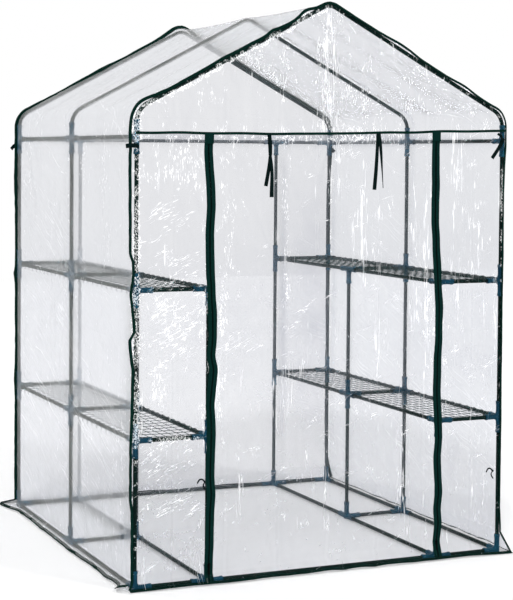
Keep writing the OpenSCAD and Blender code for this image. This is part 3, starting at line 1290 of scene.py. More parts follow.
@dataclass
class EndFilm(Film):
    """A sheet in one of the end walls, between two edges that may wander.

    Args:
        end: Which end.
        spans: X of the sheet's left and right edge at heights given as an array.
        top: Z of its upper edge at places X given as an array.
        bottom: Z of its lower edge at places X, or None where it reaches the ground.
        counts: Rows and columns of the grid.
        billow: How far the sheet stands out in its middle.
        wrapped: How tightly it is wrinkled round the roof hoop's left and right half.
        hoop: Middle and half width of the band that lies on the hoop, below the edge.
        held: How much of an inward crease a tube takes away.
    """

    end: End = End.FRONT
    spans: Span | None = None
    top: Callable[[Array], Array] | None = None
    bottom: Callable[[Array], Array] | None = None
    counts: tuple[int, int] = (260, 60)
    # wrapped: How tightly it is wrinkled, with painted glint speckle, round the roof hoop's left and right
    # half.
    billow: float = 0.0
    wrapped: tuple[float, float] = (0.3, 0.3)
    hoop: tuple[float, float] = (0.017, 0.014)
    held: float = 0.9

    def build(self, material: Material) -> None:
        """Builds and dresses the sheet.

        Args:
            material: Look of the film.
        """
        at, end, hem = self.lines.at, self.end, self.lines.hems[self.end]
        rows, columns = self.counts
        down, across = np.meshgrid(np.linspace(1.0, 0.0, rows), np.linspace(0.0, 1.0, columns), indexing="ij")
        left, right = self.spans(at.seam_z * (down if self.bottom is None else np.ones_like(down)))
        x = left + (right - left) * across
        floor = np.zeros_like(x) if self.bottom is None else self.bottom(x)
        z = floor + down * (self.top(x) - floor)
        left, right = self.spans(z)
        x = left + (right - left) * across
        t = np.clip(x / at.wall, -1.0, 1.0)
        low = hem.low(t, z)
        levels = self.creasing(x, z)
        rim = hump((self.lines.roof_z(end, x) - z) * math.cos(at.pitch), *self.hoop)
        # Where the film lies on the roof hoop it has painted glint speckle.
        wrapped = np.where(x < 0.0, *self.wrapped) * rim * (z > at.seam_z)
        levels[Mark.TOUCH] = np.maximum(levels[Mark.TOUCH], wrapped)
        edge = ease(np.minimum(x - left, right - x) / 0.02) * ease((self.top(x) - z) / 0.012)
        out = self.relief(x, z, levels)
        near_bars = np.maximum.reduce([hump(z, rail, 0.02) for rail in at.rails[1:]]
                                      + [hump(np.abs(x), post, 0.02) for post in (at.post_x, at.inner_x)])
        out = np.where(out < 0.0, out * (1.0 - self.held * near_bars), out)
        out += self.billow * np.sin(math.pi * np.clip(across, 0, 1)) * (1.0 - low)
        y = self.lines.end_y(end, x, z) + end.value * out * edge
        points = np.stack([x, y, z + hem.lift(t) * low], axis=-1)
        self.finish(points, np.stack([x, z], axis=-1), levels, end is End.FRONT, material,
                    [f"roof_hoop_{end.name.lower()}"])


# ---------------------------------------------------------------- finishes

DUST = (0.32, 0.34, 0.33)
# White of the painted glints along the film's creases.
PAINTED_GLINT_WHITE = (0.97, 0.97, 0.98)
FILM_INDEX = 1.02


class ShaderGroup(Group):
    """A shader node group, whose outputs are all numbers.

    Args:
        name: Name of the group.
        inputs: Default of each input.
        outputs: Names of the outputs.
    """

    def __init__(self, name: str, inputs: dict[str, object], *outputs: str) -> None:
        """Starts the group and its sockets."""
        super().__init__("ShaderNodeTree", name, inputs, dict.fromkeys(outputs, SOCKETS[float]))

    def give(self, *values: Socket) -> "ShaderGroup":
        """Sends values to the outputs, in their order."""
        self.feed(self.result, dict(enumerate(values)))
        return self


def coat_group() -> ShaderGroup:
    """Sprayed or moulded surface: fine grain, broad changes of tone and dust.

    Returns:
        The finished group.
    """
    group = ShaderGroup("coat_grain", {"Vector": ORIGIN, "Grain": 900.0, "Cloud": 9.0, "Dust": 0.3},
                        "Tone", "Dusty", "Height")
    place, fine, broad, dust = (group.given[label] for label in ("Vector", "Grain", "Cloud", "Dust"))
    speck = group.noise(place, group.math("MULTIPLY", broad, 21.0), 3.0, Roughness=0.7)["Fac"]
    cloud = group.noise(place, broad, 4.0)["Fac"]
    mixed = group.math("MULTIPLY_ADD", cloud, 0.75, group.math("MULTIPLY", speck, 0.25))
    tone = group.math("MULTIPLY_ADD", mixed, 2.2, -0.6, clamp=True)
    dusty = group.ramp(speck, 0.55, 0.75, 0.0, dust, "LINEAR")
    return group.give(tone, dusty, group.noise(place, fine, 2.0)["Fac"])


def weave_group() -> ShaderGroup:
    """Plain weave on the flat place: one thread over and one under, with loose fibres.

    Returns:
        The finished group.
    """
    group = ShaderGroup("plain_weave", {"Vector": ORIGIN, "Pitch": 0.0009}, "Thread", "Fluff", "Height")
    place = group.given["Vector"]
    turns = group.vector("SCALE", place, group.math("DIVIDE", 2 * math.pi, group.given["Pitch"]))
    axes = group.add("ShaderNodeSeparateXYZ", {0: turns}).outputs
    over = group.math("MULTIPLY", group.math("SINE", axes["X"]), group.math("SINE", axes["Y"]))
    thread = group.math("MULTIPLY_ADD", over, 0.5, 0.5)
    fluff = group.noise(place, 700.0, 4.0)["Fac"]
    return group.give(thread, fluff, group.math("MULTIPLY_ADD", fluff, 0.4, thread))


def crease_group() -> ShaderGroup:
    """Short, broken crease lines in film: a mask of their painted glints, and the height of the creases.

    Returns:
        The finished group.
    """
    group = ShaderGroup("film_creases", {
        "Vector": ORIGIN, "Along": 30.0, "Across": 110.0, "Turn": 0.0, "Amount": 0.3, "Width": 0.08,
        "Bend": 0.05, "Seed": 0.0}, "Mask", "Height")
    given = group.given
    start = group.vector("ADD", given["Vector"], group.axes(z=given["Seed"]))
    sway = group.vector("SUBTRACT", group.noise(start, 6.0, 1.0)["Color"], (0.5, 0.5, 0.5))
    moved = group.vector("ADD", start, group.vector("SCALE", sway, given["Bend"]))
    turned = group.add("ShaderNodeVectorRotate", {"Vector": moved, "Angle": given["Turn"]},
                       rotation_type="Z_AXIS")
    cells = group.vector("MULTIPLY", turned.outputs[0], group.axes(given["Along"], given["Across"], 1.0))
    off = group.math("ABSOLUTE", group.math("SUBTRACT", group.noise(cells, 1.0, 2.0)["Fac"], 0.5))
    ridge = group.ramp(off, 0.0, given["Width"], 1.0, 0.0)
    patch = group.noise(group.vector("MULTIPLY", cells, (0.6, 0.28, 1.0)), 1.0, 3.0)["Fac"]
    floor = group.math("MULTIPLY_ADD", given["Amount"], -0.42, 0.70)
    gate = group.ramp(patch, floor, group.math("ADD", floor, 0.16))
    gaps = group.ramp(group.noise(cells, 1.7, 1.0)["Fac"], 0.36, 0.58)
    return group.give(group.math("MULTIPLY", group.math("MULTIPLY", ridge, gate), gaps), off)


class Effects:
    """The shared shader groups, each built once."""

    def __init__(self) -> None:
        """Builds the groups."""
        self.coat = coat_group()
        self.weave = weave_group()
        self.creases = crease_group()


class Paint(Canvas):
    """A new material, as a canvas on its tree whose surface is one Principled node."""

    def __init__(self, name: str) -> None:
        """Makes a material of the given name.

        Args:
            name: Name of the material.
        """
        self.material = bpy.data.materials.new(name)
        self.material.use_nodes = True
        super().__init__(self.material.node_tree)
        self.tree.nodes.clear()
        self.shader = self.add("ShaderNodeBsdfPrincipled")
        self.add("ShaderNodeOutputMaterial", {"Surface": self.shader.outputs[0]})

    def flat(self) -> Socket:
        """Place on the flat piece."""
        return self.add("ShaderNodeUVMap", uv_map="flat").outputs[0]

    def attribute(self, mark: Mark) -> Socket:
        """How creased the film is in one way."""
        return self.add("ShaderNodeAttribute", attribute_name=mark.value).outputs["Fac"]

    def effect(self, group: ShaderGroup, values: Inputs) -> bpy.types.NodeOutputs:
        """Outputs of a shared effect."""
        return self.add("ShaderNodeGroup", values, node_tree=group.tree).outputs

    def mix(self, share: Socket, *ends: Socket | Color) -> Socket:
        """A colour between two others."""
        first, second = (end if isinstance(end, Socket) else (*end, 1.0) for end in ends)
        return self.add("ShaderNodeMix", {0: share, 6: first, 7: second}, data_type="RGBA").outputs[2]

    def grey(self, level: Socket) -> Socket:
        """A grey of the given level."""
        return self.add("ShaderNodeCombineColor", {0: level, 1: level, 2: level}).outputs[0]

    def bump(self, height: Socket, distance: float) -> Socket:
        """The normal that a height gives."""
        return self.add("ShaderNodeBump", {"Height": height, "Distance": distance}).outputs[0]

    def done(self, values: Inputs) -> Material:
        """Sets the shader's inputs and returns the material."""
        self.feed(self.shader, values)
        return self.material


@dataclass(frozen=True)
class CoatedFinish:
    """A painted, sprayed or moulded surface.

    Args:
        name: Name of the material.
        dark: Colour in the depth of the tone's changes.
        light: Colour at their height.
        roughness: Roughness where clean.
        shine: Specular level.
        grain: Grains a metre.
        relief: Height of the grain.
        dust: How dusty it is, up to 1.
    """

    name: str
    dark: Color
    light: Color
    roughness: float
    shine: float
    grain: float
    relief: float
    dust: float

    def material(self, effects: Effects) -> Material:
        """Builds the material from the shared grain.

        Args:
            effects: The shared groups.

        Returns:
            The material.
        """
        paint = Paint(self.name)
        place = paint.add("ShaderNodeTexCoord").outputs["Object"]
        coat = paint.effect(effects.coat, {"Vector": place, "Grain": self.grain, "Dust": self.dust})
        return paint.done({
            "Base Color": paint.mix(coat["Dusty"], paint.mix(coat["Tone"], self.dark, self.light), DUST),
            "Roughness": paint.math("MULTIPLY_ADD", coat["Dusty"], 0.5, self.roughness),
            "Normal": paint.bump(coat["Height"], self.relief), "Specular IOR Level": self.shine})


@dataclass(frozen=True)
class TapeFinish:
    """Woven tape.

    Args:
        name: Name of the material.
        dark: Colour between the threads, painted shade where the weave dips.
        light: Colour of the threads.
        pitch: Distance between two threads that go the same way.
        shine: Specular level.
        relief: Height of the weave.
        roughness: Roughness of the threads.
    """

    name: str
    dark: Color
    light: Color
    pitch: float = 0.0011
    shine: float = 0.03
    relief: float = 0.00018
    roughness: float = 0.6

    def material(self, effects: Effects) -> Material:
        """Builds the material from the shared weave.

        Args:
            effects: The shared groups.

        Returns:
            The material.
        """
        paint = Paint(self.name)
        weave = paint.effect(effects.weave, {"Vector": paint.flat(), "Pitch": self.pitch})
        worn = paint.math("MULTIPLY_ADD", weave["Fluff"], 0.7, -0.1)
        # Darker where the weave dips: painted shade between the threads.
        share = paint.math("MULTIPLY_ADD", weave["Thread"], 0.6, worn, clamp=True)
        return paint.done({
            "Base Color": paint.mix(share, self.dark, self.light),
            "Roughness": paint.math("MULTIPLY_ADD", weave["Fluff"], 0.2, self.roughness),
            "Normal": paint.bump(weave["Height"], self.relief), "Specular IOR Level": self.shine})


@dataclass(frozen=True)
class Stroke:
    """How the painted glints along one kind of crease are drawn.

    Args:
        turn: Direction in degrees.
        along: Creases a metre along their direction.
        across: Creases a metre across it.
        width: Share of the pattern that carries painted glints.
        bend: How far the lines wander.
        strength: How bright its painted glints are.
    """

    turn: float
    along: float = 26.0
    across: float = 125.0
    width: float = 0.045
    bend: float = 0.05
    strength: float = 1.0


@dataclass(frozen=True)
class FilmFinish:
    """Clear film that blurs what stands far behind it, with painted glints along its creases.

    Args:
        name: Name of the material.
        strokes: How the painted glints along each kind of crease are drawn.
        haze: Share of the light that scatters, seen square on.
        rim_haze: Share added at a glancing view.
        scatter: Roughness of the scattering.
        mirror: Index that sets how strongly the film reflects.
        tint: Colour that the scattered light takes on.
        gloss: Roughness of the reflections.
        glint: Glow painted on the brightest glints.
        shade: How much light the film holds back from a lamp, of what it scatters.
        edge_gloss: How soon the gloss grows as the view turns from square on to glancing.
        grain: How rough the fine grain is, which breaks up the outlines behind.
        relief: Height of the creases.
        clouds: How many broad changes of the haze there are a metre.
        cloudiness: How much the haze changes.
        grains: How many grains there are a metre.
    """

    name: str
    strokes: dict[Mark, Stroke]
    haze: float = 0.20
    rim_haze: float = 0.50
    scatter: float = 0.80
    mirror: float = 1.7
    tint: Color = (0.275, 0.29, 0.355)
    gloss: float = 0.26
    glint: float = 0.75
    shade: float = 2.0
    edge_gloss: float = 2.6
    grain: float = 0.20
    relief: float = 0.004
    clouds: float = 4.0
    cloudiness: float = 0.12
    grains: float = 170.0

    def creases(self, paint: Paint, flat: Socket, effects: Effects) -> tuple[Socket, Socket]:
        """Adds the shared creases once for each kind of crease.

        Args:
            paint: The material.
            flat: Place on the flat sheet.
            effects: The shared groups.

        Returns:
            How white the creases are, and their height.
        """
        whites, heights = [], []
        for number, (mark, stroke) in enumerate(self.strokes.items()):
            amount = paint.attribute(mark)
            crease = paint.effect(effects.creases, {
                "Vector": flat, "Amount": amount, "Seed": 3.7 * number, "Turn": math.radians(stroke.turn),
                "Along": stroke.along, "Across": stroke.across, "Width": stroke.width, "Bend": stroke.bend})
            whites.append(paint.math("MULTIPLY", crease["Mask"], stroke.strength))
            rise = paint.math("MULTIPLY_ADD", amount, 1.2, 0.05)
            heights.append(paint.math("MULTIPLY", crease["Height"], rise))
        return reduce(partial(paint.math, "MAXIMUM"), whites), reduce(partial(paint.math, "ADD"), heights)

    def material(self, effects: Effects) -> Material:
        """Builds the material from the shared creases.

        Args:
            effects: The shared groups.

        Returns:
            The material.
        """
        paint = Paint(self.name)
        flat = paint.flat()
        facing = paint.add("ShaderNodeLayerWeight", {"Blend": 0.5}).outputs["Facing"]
        shadow = paint.add("ShaderNodeLightPath").outputs["Is Shadow Ray"]
        outer = paint.math("SUBTRACT", 1.0, paint.add("ShaderNodeNewGeometry").outputs["Backfacing"])
        # white is where the painted glints lie along the creases, from 0 to 1.
        white, raised = self.creases(paint, flat, effects)
        cloudy = paint.math("MULTIPLY_ADD", paint.noise(flat, self.clouds, 5.0)["Fac"], self.cloudiness,
                            self.haze - self.cloudiness / 2)
        hazy = paint.math("MULTIPLY_ADD", facing, self.rim_haze, cloudy)
        # Alpha: the haze, made more solid by the painted glints and by the painted sheen and shade.
        solid = paint.math("ADD", white, paint.math("ADD", paint.attribute(Mark.VEIL), hazy), clamp=True)
        dimming = paint.math("MULTIPLY_ADD", shadow, self.shade - 1.0, 1.0)
        sheen = paint.math("MULTIPLY", paint.math("MULTIPLY", facing, facing), self.edge_gloss, clamp=True)
        fine = paint.noise(flat, self.grains, 2.0)["Fac"]
        normal = paint.bump(paint.math("MULTIPLY_ADD", fine, self.grain, raised), self.relief)
        # The painted glints get a white colour, a glow and a full coat.
        return paint.done({
            "Base Color": paint.mix(white, self.tint, PAINTED_GLINT_WHITE), "Roughness": self.scatter, "IOR": FILM_INDEX,
            "Alpha": paint.math("MULTIPLY", solid, dimming), "Transmission Weight": 1.0,
            "Emission Color": paint.grey(paint.math("MULTIPLY", white, self.glint)), "Emission Strength": 1.0,
            "Coat Weight": paint.math("MAXIMUM", paint.math("MULTIPLY", sheen, outer), white),
            "Coat Roughness": self.gloss, "Coat IOR": self.mirror, "Normal": normal, "Coat Normal": normal})


# ---------------------------------------------------------------- the frame's fittings

UP, DOWN = (0, 0, 1), (0, 0, -1)
LEFT, RIGHT = (-1, 0, 0), (1, 0, 0)
FRONT, BACK = (0, -1, 0), (0, 1, 0)
SQUARE = ((-1, -1), (1, -1), (1, 1), (-1, 1))
Way = tuple[int, int, int]
Joint = tuple[Vector, list[Way], dict[Way, float]]


@dataclass
class Connectors:
    """Moulded connectors: rounded arms with a collar and a hollow mouth, blended at the middle.

    Args:
        at: The frame's sizes.
        collar: Size of the collar against the arm.
        collar_len: Length of the collar.
        mouth_depth: How far the hollow mouth goes in.
        rounding: Size of the control cage against the round arm that it gives.
        step: Distance between two rings that hold an edge sharp.
        neck: Size of the arm inside its collar.
        neck_at: Where the blend from the middle ends, of the arm's length.
        chamfer: Size of the collar's outer edge, of the collar.
        flare: Size of the mouth's edge, of the mouth.
        play: Gap round a tube in the mouth.
    """

    at: Layout
    collar: float = 1.13
    collar_len: float = 0.009
    mouth_depth: float = 0.008
    rounding: float = 1.075
    step: float = 0.0012
    neck: float = 0.98
    neck_at: float = 0.42
    chamfer: float = 0.96
    flare: float = 1.04
    play: float = 0.0001

    def rings(self, length: float, open_end: bool) -> Rows:
        """Distance from the middle and size of each ring of an arm's cage.

        Args:
            length: How far the arm reaches, in metres.
            open_end: Whether a tube goes in.

        Returns:
            A row for each ring.
        """
        if not open_end:
            return (length - self.step, 1.0), (length, 1.0)
        lip = length - self.collar_len
        mouth = (self.at.tube_r + self.play) / self.at.sleeve_r
        return ((length * self.neck_at, self.neck), (lip - self.step, self.neck), (lip, self.collar),
                (length - self.step, self.collar), (length, self.collar * self.chamfer),
                (length, mouth * self.flare), (length - self.mouth_depth, mouth))

    def joint(self, stock: Stock, centre: Vector, ways: list[Way], feet: dict[Way, float]) -> None:
        """Adds one connector.

        Args:
            stock: Where its faces go.
            centre: Its middle.
            ways: Its open arms.
            feet: Closed arms with their length.
        """
        half = self.at.sleeve_r * self.rounding
        signs = [(x, y, z) for x in (-1, 1) for y in (-1, 1) for z in (-1, 1)]
        points = [centre + Vector(s) * half for s in signs]
        faces: list[tuple[int, ...]] = []
        for way in (UP, DOWN, LEFT, RIGHT, FRONT, BACK):
            axis = next(k for k in range(3) if way[k])
            square = SQUARE[::-1] if (way[axis] > 0) == (axis == 1) else SQUARE
            ring = [signs.index((*pair[:axis], way[axis], *pair[axis:])) for pair in square]
            arm = way in ways or way in feet
            for distance, size in self.rings(feet.get(way, self.at.sleeve_len), way in ways) if arm else ():
                fresh = list(range(len(points), len(points) + 4))
                off = centre + Vector(way) * distance
                points += [off + Vector((*pair[:axis], 0, *pair[axis:])) * half * size for pair in square]
                faces += [(ring[k], ring[(k + 1) % 4], fresh[(k + 1) % 4], fresh[k]) for k in range(4)]
                ring = fresh
            faces.append(tuple(ring))
        grounded = np.array([(p.x, p.y, max(p.z, 0.0)) for p in points])
        stock.add(grounded, faces, [(0.0, 0.0)] * sum(len(f) for f in faces))

    def level(self, node: str, joints: list[Joint], material: Material) -> None:
        """Builds all connectors of one level as one piece.

        Args:
            node: CAD piece they stand for.
            joints: Place and arms of each.
            material: Look of the plastic.
        """
        stock = Stock()
        for joint in joints:
            self.joint(stock, *joint)
        thing = stock.piece(node.replace("connectors", "joints"))
        round_off = thing.modifiers.new("round", "SUBSURF")
        round_off.levels = round_off.render_levels = 2
        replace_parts(dressed(thing, material), node)

    def build(self, material: Material) -> None:
        """Builds the four levels.

        Args:
            material: Look of the plastic.
        """
        at = self.at
        levels: dict[str, list[Joint]] = {"base": [], "lower_shelf": [], "upper_shelf": [], "eave": []}
        for side in Side:
            inwards, outwards = (RIGHT, LEFT) if side is Side.LEFT else (LEFT, RIGHT)
            post, inner = side.value * at.post_x, side.value * abs(at.inner_x)
            for y in at.frames:
                run = ([FRONT] if y > at.frames[0] else []) + ([BACK] if y < at.frames[2] else [])
                at_back = y == at.frames[2]
                across, foot = [] if y == 0.0 else [inwards], {DOWN: at.base_z}
                levels["base"] += [(Vector((post, y, at.base_z)), [UP, inwards, *run], foot),
                                   (Vector((inner, y, at.base_z)), [UP, outwards, *across, *run], foot)]
                for name, z in (("lower_shelf", at.lower_z), ("upper_shelf", at.upper_z)):
                    above = [UP] if at_back or name == "lower_shelf" else []
                    levels[name] += [(Vector((post, y, z)), [UP, DOWN, inwards, *run], {}),
                                     (Vector((inner, y, z)), [*above, DOWN, outwards, *run], {})]
                bar = [inwards] if at_back else []
                levels["eave"].append((Vector((post, y, at.eave_z)), [UP, DOWN, *bar, *run], {}))
            levels["eave"].append((Vector((inner, at.frames[2], at.eave_z)), [DOWN, LEFT, RIGHT], {}))
        for name, joints in levels.items():
            self.level(f"{name}_connectors", joints, material)


@dataclass
class WireShelves:
    """Welded wire panels: cross wires that hook down over both rails, on wires that run along.

    Args:
        at: The frame's sizes.
        radius: Radius of the wires.
        cross_count: Cross wires in each bay.
        long_count: Wires along each bay between the rails.
        end_gap: Gap between a panel's end wires and the middle frame, and the posts' sleeves.
        overhang: How far the lengthwise wires stick out past the end wires.
        hook_drop: How far the hooked ends hang below the rail's centre.
        sag: How far a cross wire sags in its middle.
        lift: Gap between a rail and the wire that lies on it.
        inner_hook: How far the inner hook hangs down, of the outer one.
        pieces: In how many pieces a cross wire sags.
    """

    at: Layout
    radius: float = 0.0010
    cross_count: int = 14
    long_count: int = 8
    end_gap: float = 0.013
    overhang: float = 0.006
    hook_drop: float = 0.0155
    sag: float = 0.002
    lift: float = 0.0006
    inner_hook: float = 0.3
    pieces: int = 10

    def cross_wire(self, side: Side, z: float) -> Array:
        """Middle line of one cross wire, hooked at both ends.

        Args:
            side: Side of the shelf.
            z: Height of its rails, in metres.

        Returns:
            Points of the line.
        """
        over = self.at.tube_r + self.radius + self.lift
        inner, outer = abs(self.at.inner_x), self.at.post_x
        turn = np.linspace(0.0, math.pi / 2, 5)
        hook = list(zip(over * np.sin(turn), over * np.cos(turn)))
        inside = [(inner - a, b) for a, b in hook] + [(inner - over, -self.inner_hook * self.hook_drop)]
        outside = [(outer + a, b) for a, b in hook] + [(outer + over, -self.hook_drop)]
        line = inside[::-1] + outside
        points = []
        for a, b in zip(line[:-1], line[1:]):
            pieces = self.pieces if b[0] - a[0] > (outer - inner) / 2 else 1
            for share in (k / pieces for k in range(pieces)):
                dip = self.sag * math.sin(math.pi * share) if pieces > 1 else 0.0
                points.append((a[0] + (b[0] - a[0]) * share, a[1] + (b[1] - a[1]) * share - dip))
        return np.array([(side.value * x, 0.0, z + h) for x, h in (*points, line[-1])])

    def bay(self, tree: GeometryTree, node: str, side: Side, z: float, span: tuple[float, float],
            material: Material) -> bpy.types.Mesh:
        """One panel, between the frames at the two Y of the span.

        Args:
            tree: Nodes that weld a panel.
            node: CAD piece it belongs to.
            side: Side of the shelf.
            z: Height of its rails, in metres.
            span: The two Y, in metres.
            material: Look of the wire.

        Returns:
            The mesh.
        """
        start, stop = span[0] + self.end_gap, span[1] - self.end_gap
        inner, tube = abs(self.at.inner_x), self.at.tube_r
        depth = self.at.post_x - inner
        pitch = depth / (self.long_count + 1)
        over = tube + 3.2 * self.radius
        first = start - self.overhang
        return tree.grow(node, [self.cross_wire(side, z) + np.array([0.0, start, 0.0])], {
            "Radius": self.radius, "Cross Count": self.cross_count,
            "Cross Pitch": (stop - start) / (self.cross_count - 1), "Long Count": self.long_count,
            "Long Pitch": side.value * pitch, "Long Length": stop - start + 2 * self.overhang,
            "Long Start": (side.value * (inner + pitch), first, z + tube - 1.2 * self.radius),
            "Edge Start": (side.value * (inner - over), first, z - 0.2 * tube),
            "Edge Shift": (side.value * (depth + 2 * over), 0.0, 0.0), "Material": material})

    def build(self, tree: GeometryTree, material: Material) -> None:
        """Builds the four shelves, each of two panels.

        Args:
            tree: Nodes that weld a panel.
            material: Look of the wire.
        """
        spans = tuple(zip(self.at.frames[:-1], self.at.frames[1:]))
        for side in Side:
            name = side.name.lower()
            for level, z in (("lower", self.at.lower_z), ("upper", self.at.upper_z)):
                node = f"{level}_mesh_{name}"
                bays = [self.bay(tree, node, side, z, span, material) for span in spans]
                thing = linked(f"wire_shelf_{level}_{name}", joined(bays))
                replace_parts(dressed(thing, material), node)


def joined(meshes: list[bpy.types.Mesh]) -> bpy.types.Mesh:
    """Several meshes as one.

    Args:
        meshes: Meshes to join, which are used up.

    Returns:
        The joined mesh.
    """
    whole = bmesh.new()
    for mesh in meshes:
        whole.from_mesh(mesh)
    whole.to_mesh(meshes[0])
    whole.free()
    meshes[0].shade_smooth()
    return meshes[0]


# ---------------------------------------------------------------- tapes, zips and ties


@dataclass
class Sewing:
    """Rows of stitches, all of one thread.

    Args:
        tree: The tree that repeats a bead along a path.
        material: The thread's material.
        pitch: Distance between stitches.
        length: Length of a stitch.
        thick: Its thickness.
        loose: How far a stitch may be turned.
    """

    tree: GeometryTree
    material: Material
    pitch: float = 0.0056
    length: float = 0.0040
    thick: float = 0.0007
    loose: float = 0.08

    def rows(self, name: str, paths: list[Array]) -> bpy.types.Object:
        """Stitches along every path, as one piece.

        Args:
            name: Name of the piece.
            paths: Points of each row of stitches.

        Returns:
            The object.
        """
        mesh = self.tree.grow(name, paths, {
            "Pitch": self.pitch, "Size": (self.thick, self.thick, self.length), "Sides": 4,
            "Loose": self.loose, "Seed": len(name), "Material": self.material})
        return dressed(linked(name, mesh), self.material)


@dataclass
class EdgeBinding:
    """Folded tape sewn over the edges of the film: the rims of both ends, the hem and the seam over the door.

    Args:
        lines: The cover's shared lines.
        tape: The tape's material.
        sewing: Its stitches.
        width: Width of the folded tape.
        thick: Thickness over the fold.
        overlap: How far the tape reaches in over the film.
        back_width: Its width round the back wall, where it stands out further.
        hem_width: Width of the hem's tape.
        seam_width: Width of the tape over the door.
        seam_thick: Its thickness.
        seam_rows: How far its two rows of stitches are from its middle.
        lean: Direction in which the hem's tape stands, outwards and up.
        station: Distance between points round a rim.
        foot: How far above the ground a rim's tape ends.
        uneven: How far its edge wavers, and over how many points.
        stitched: How far a rim's stitches lie out from the film's edge, and the hem's.
        tucked: How far the hem's tape reaches in under the edge, and how far it hangs below.
        hem_thin: Thickness of the hem's tape, of the rims'.
        seam_off: How far the tape over the door lies before the film.
    """

    lines: CoverLines
    tape: Material
    sewing: Sewing
    width: float = 0.011
    thick: float = 0.0034
    overlap: float = 0.0045
    back_width: float = 0.017
    hem_width: float = 0.013
    seam_width: float = 0.009
    seam_thick: float = 0.0022
    seam_rows: float = 0.0026
    lean: tuple[float, float] = (0.90, 0.45)
    station: float = 0.006
    foot: float = 0.003
    uneven: tuple[float, float] = (0.0007, 4.0)
    stitched: tuple[float, float] = (0.0008, 0.0045)
    tucked: tuple[float, float] = (0.004, 0.0015)
    hem_thin: float = 0.8
    seam_off: float = 0.0025

    def bind(self, stock: Stock, node: str, name: str, seams: list[Array]) -> None:
        """Makes the gathered tape a piece, and its seams another."""
        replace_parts(dressed(stock.piece(name), self.tape), node)
        self.sewing.rows(f"{name.rsplit('_', 1)[0]}_stitches", seams)

    def rim(self, end: End) -> None:
        """Binds the corners and gable edges of one end, in one length over the ridge.

        Args:
            end: Front or back.
        """
        left, right = (self.lines.rims[side, end] for side in Side)
        s = np.linspace(0.0, left.profile.length - self.foot, int(left.profile.length / self.station))
        path = np.concatenate([left.points(s)[::-1], right.points(s)[1:]])
        wide = np.concatenate([left.outwards(s)[::-1], right.outwards(s)[1:]])
        path = path + wide * wave(np.arange(len(path)), *self.uneven, 51 + end.value)[:, None]
        stock = Stock()
        width = self.width if end is End.FRONT else self.back_width
        stock.strip(path, wide, rounded_bar(width, self.thick, -self.overlap))
        face = unit(np.cross(slopes(path), wide)) * (self.thick / 2)
        seam = path + wide * self.stitched[0]
        name = end.name.lower()
        self.bind(stock, f"{name}_piping", f"{name}_edge_binding", [seam + face, seam - face])

    def hem(self) -> None:
        """Binds the bottom edge all round."""
        stock, seams, thick = Stock(), [], self.thick * self.hem_thin
        for wall in (*Side, *End):
            path = self.lines.hem_path(wall, np.linspace(-1.0, 1.0, 260))
            out, way = np.zeros_like(path), 1 if isinstance(wall, End) else -1
            out[:, 0 if isinstance(wall, Side) else 1] = wall.value
            wide = unit(np.array([0.0, 0.0, self.lean[1]]) - out * self.lean[0])
            stock.strip(path - wide * self.tucked[0] - np.array([0.0, 0.0, self.tucked[1]]), wide,
                        rounded_bar(self.hem_width, thick))
            seams.append(path + wide * self.stitched[1]
                         + unit(np.cross(slopes(path), wide)) * (thick / 2 * way * -wall.value))
        self.bind(stock, "hem_binding", "hem_tape", seams)

    def seam(self) -> None:
        """Tape along the seam between the gable film and the front panels."""
        reach = self.lines.at.post_x + 0.008
        x = np.linspace(-reach, reach, 230)
        z = self.lines.seam(x) + wave(x, 0.0014, 0.11, 61)
        y = self.lines.end_y(End.FRONT, x, z) - self.seam_off - wave(x, 0.0012, 0.05, 62)
        path = np.stack([x, y, z], axis=1)
        wide = unit(np.stack([np.zeros_like(x), wave(x, 0.12, 0.09, 63), np.ones_like(x)], axis=1))
        stock = Stock()
        stock.strip(path, wide, rounded_bar(self.seam_width, self.seam_thick, -self.seam_width / 2))
        rows = [path + wide * h + np.array([0.0, -0.0012, 0.0]) for h in (-self.seam_rows, self.seam_rows)]
        self.bind(stock, "front_eave_seam", "door_head_tape", rows)


SLIDER_HALF = 0.0075
BRIDGE_HALF = 0.005
TAB_LENGTH = 0.03


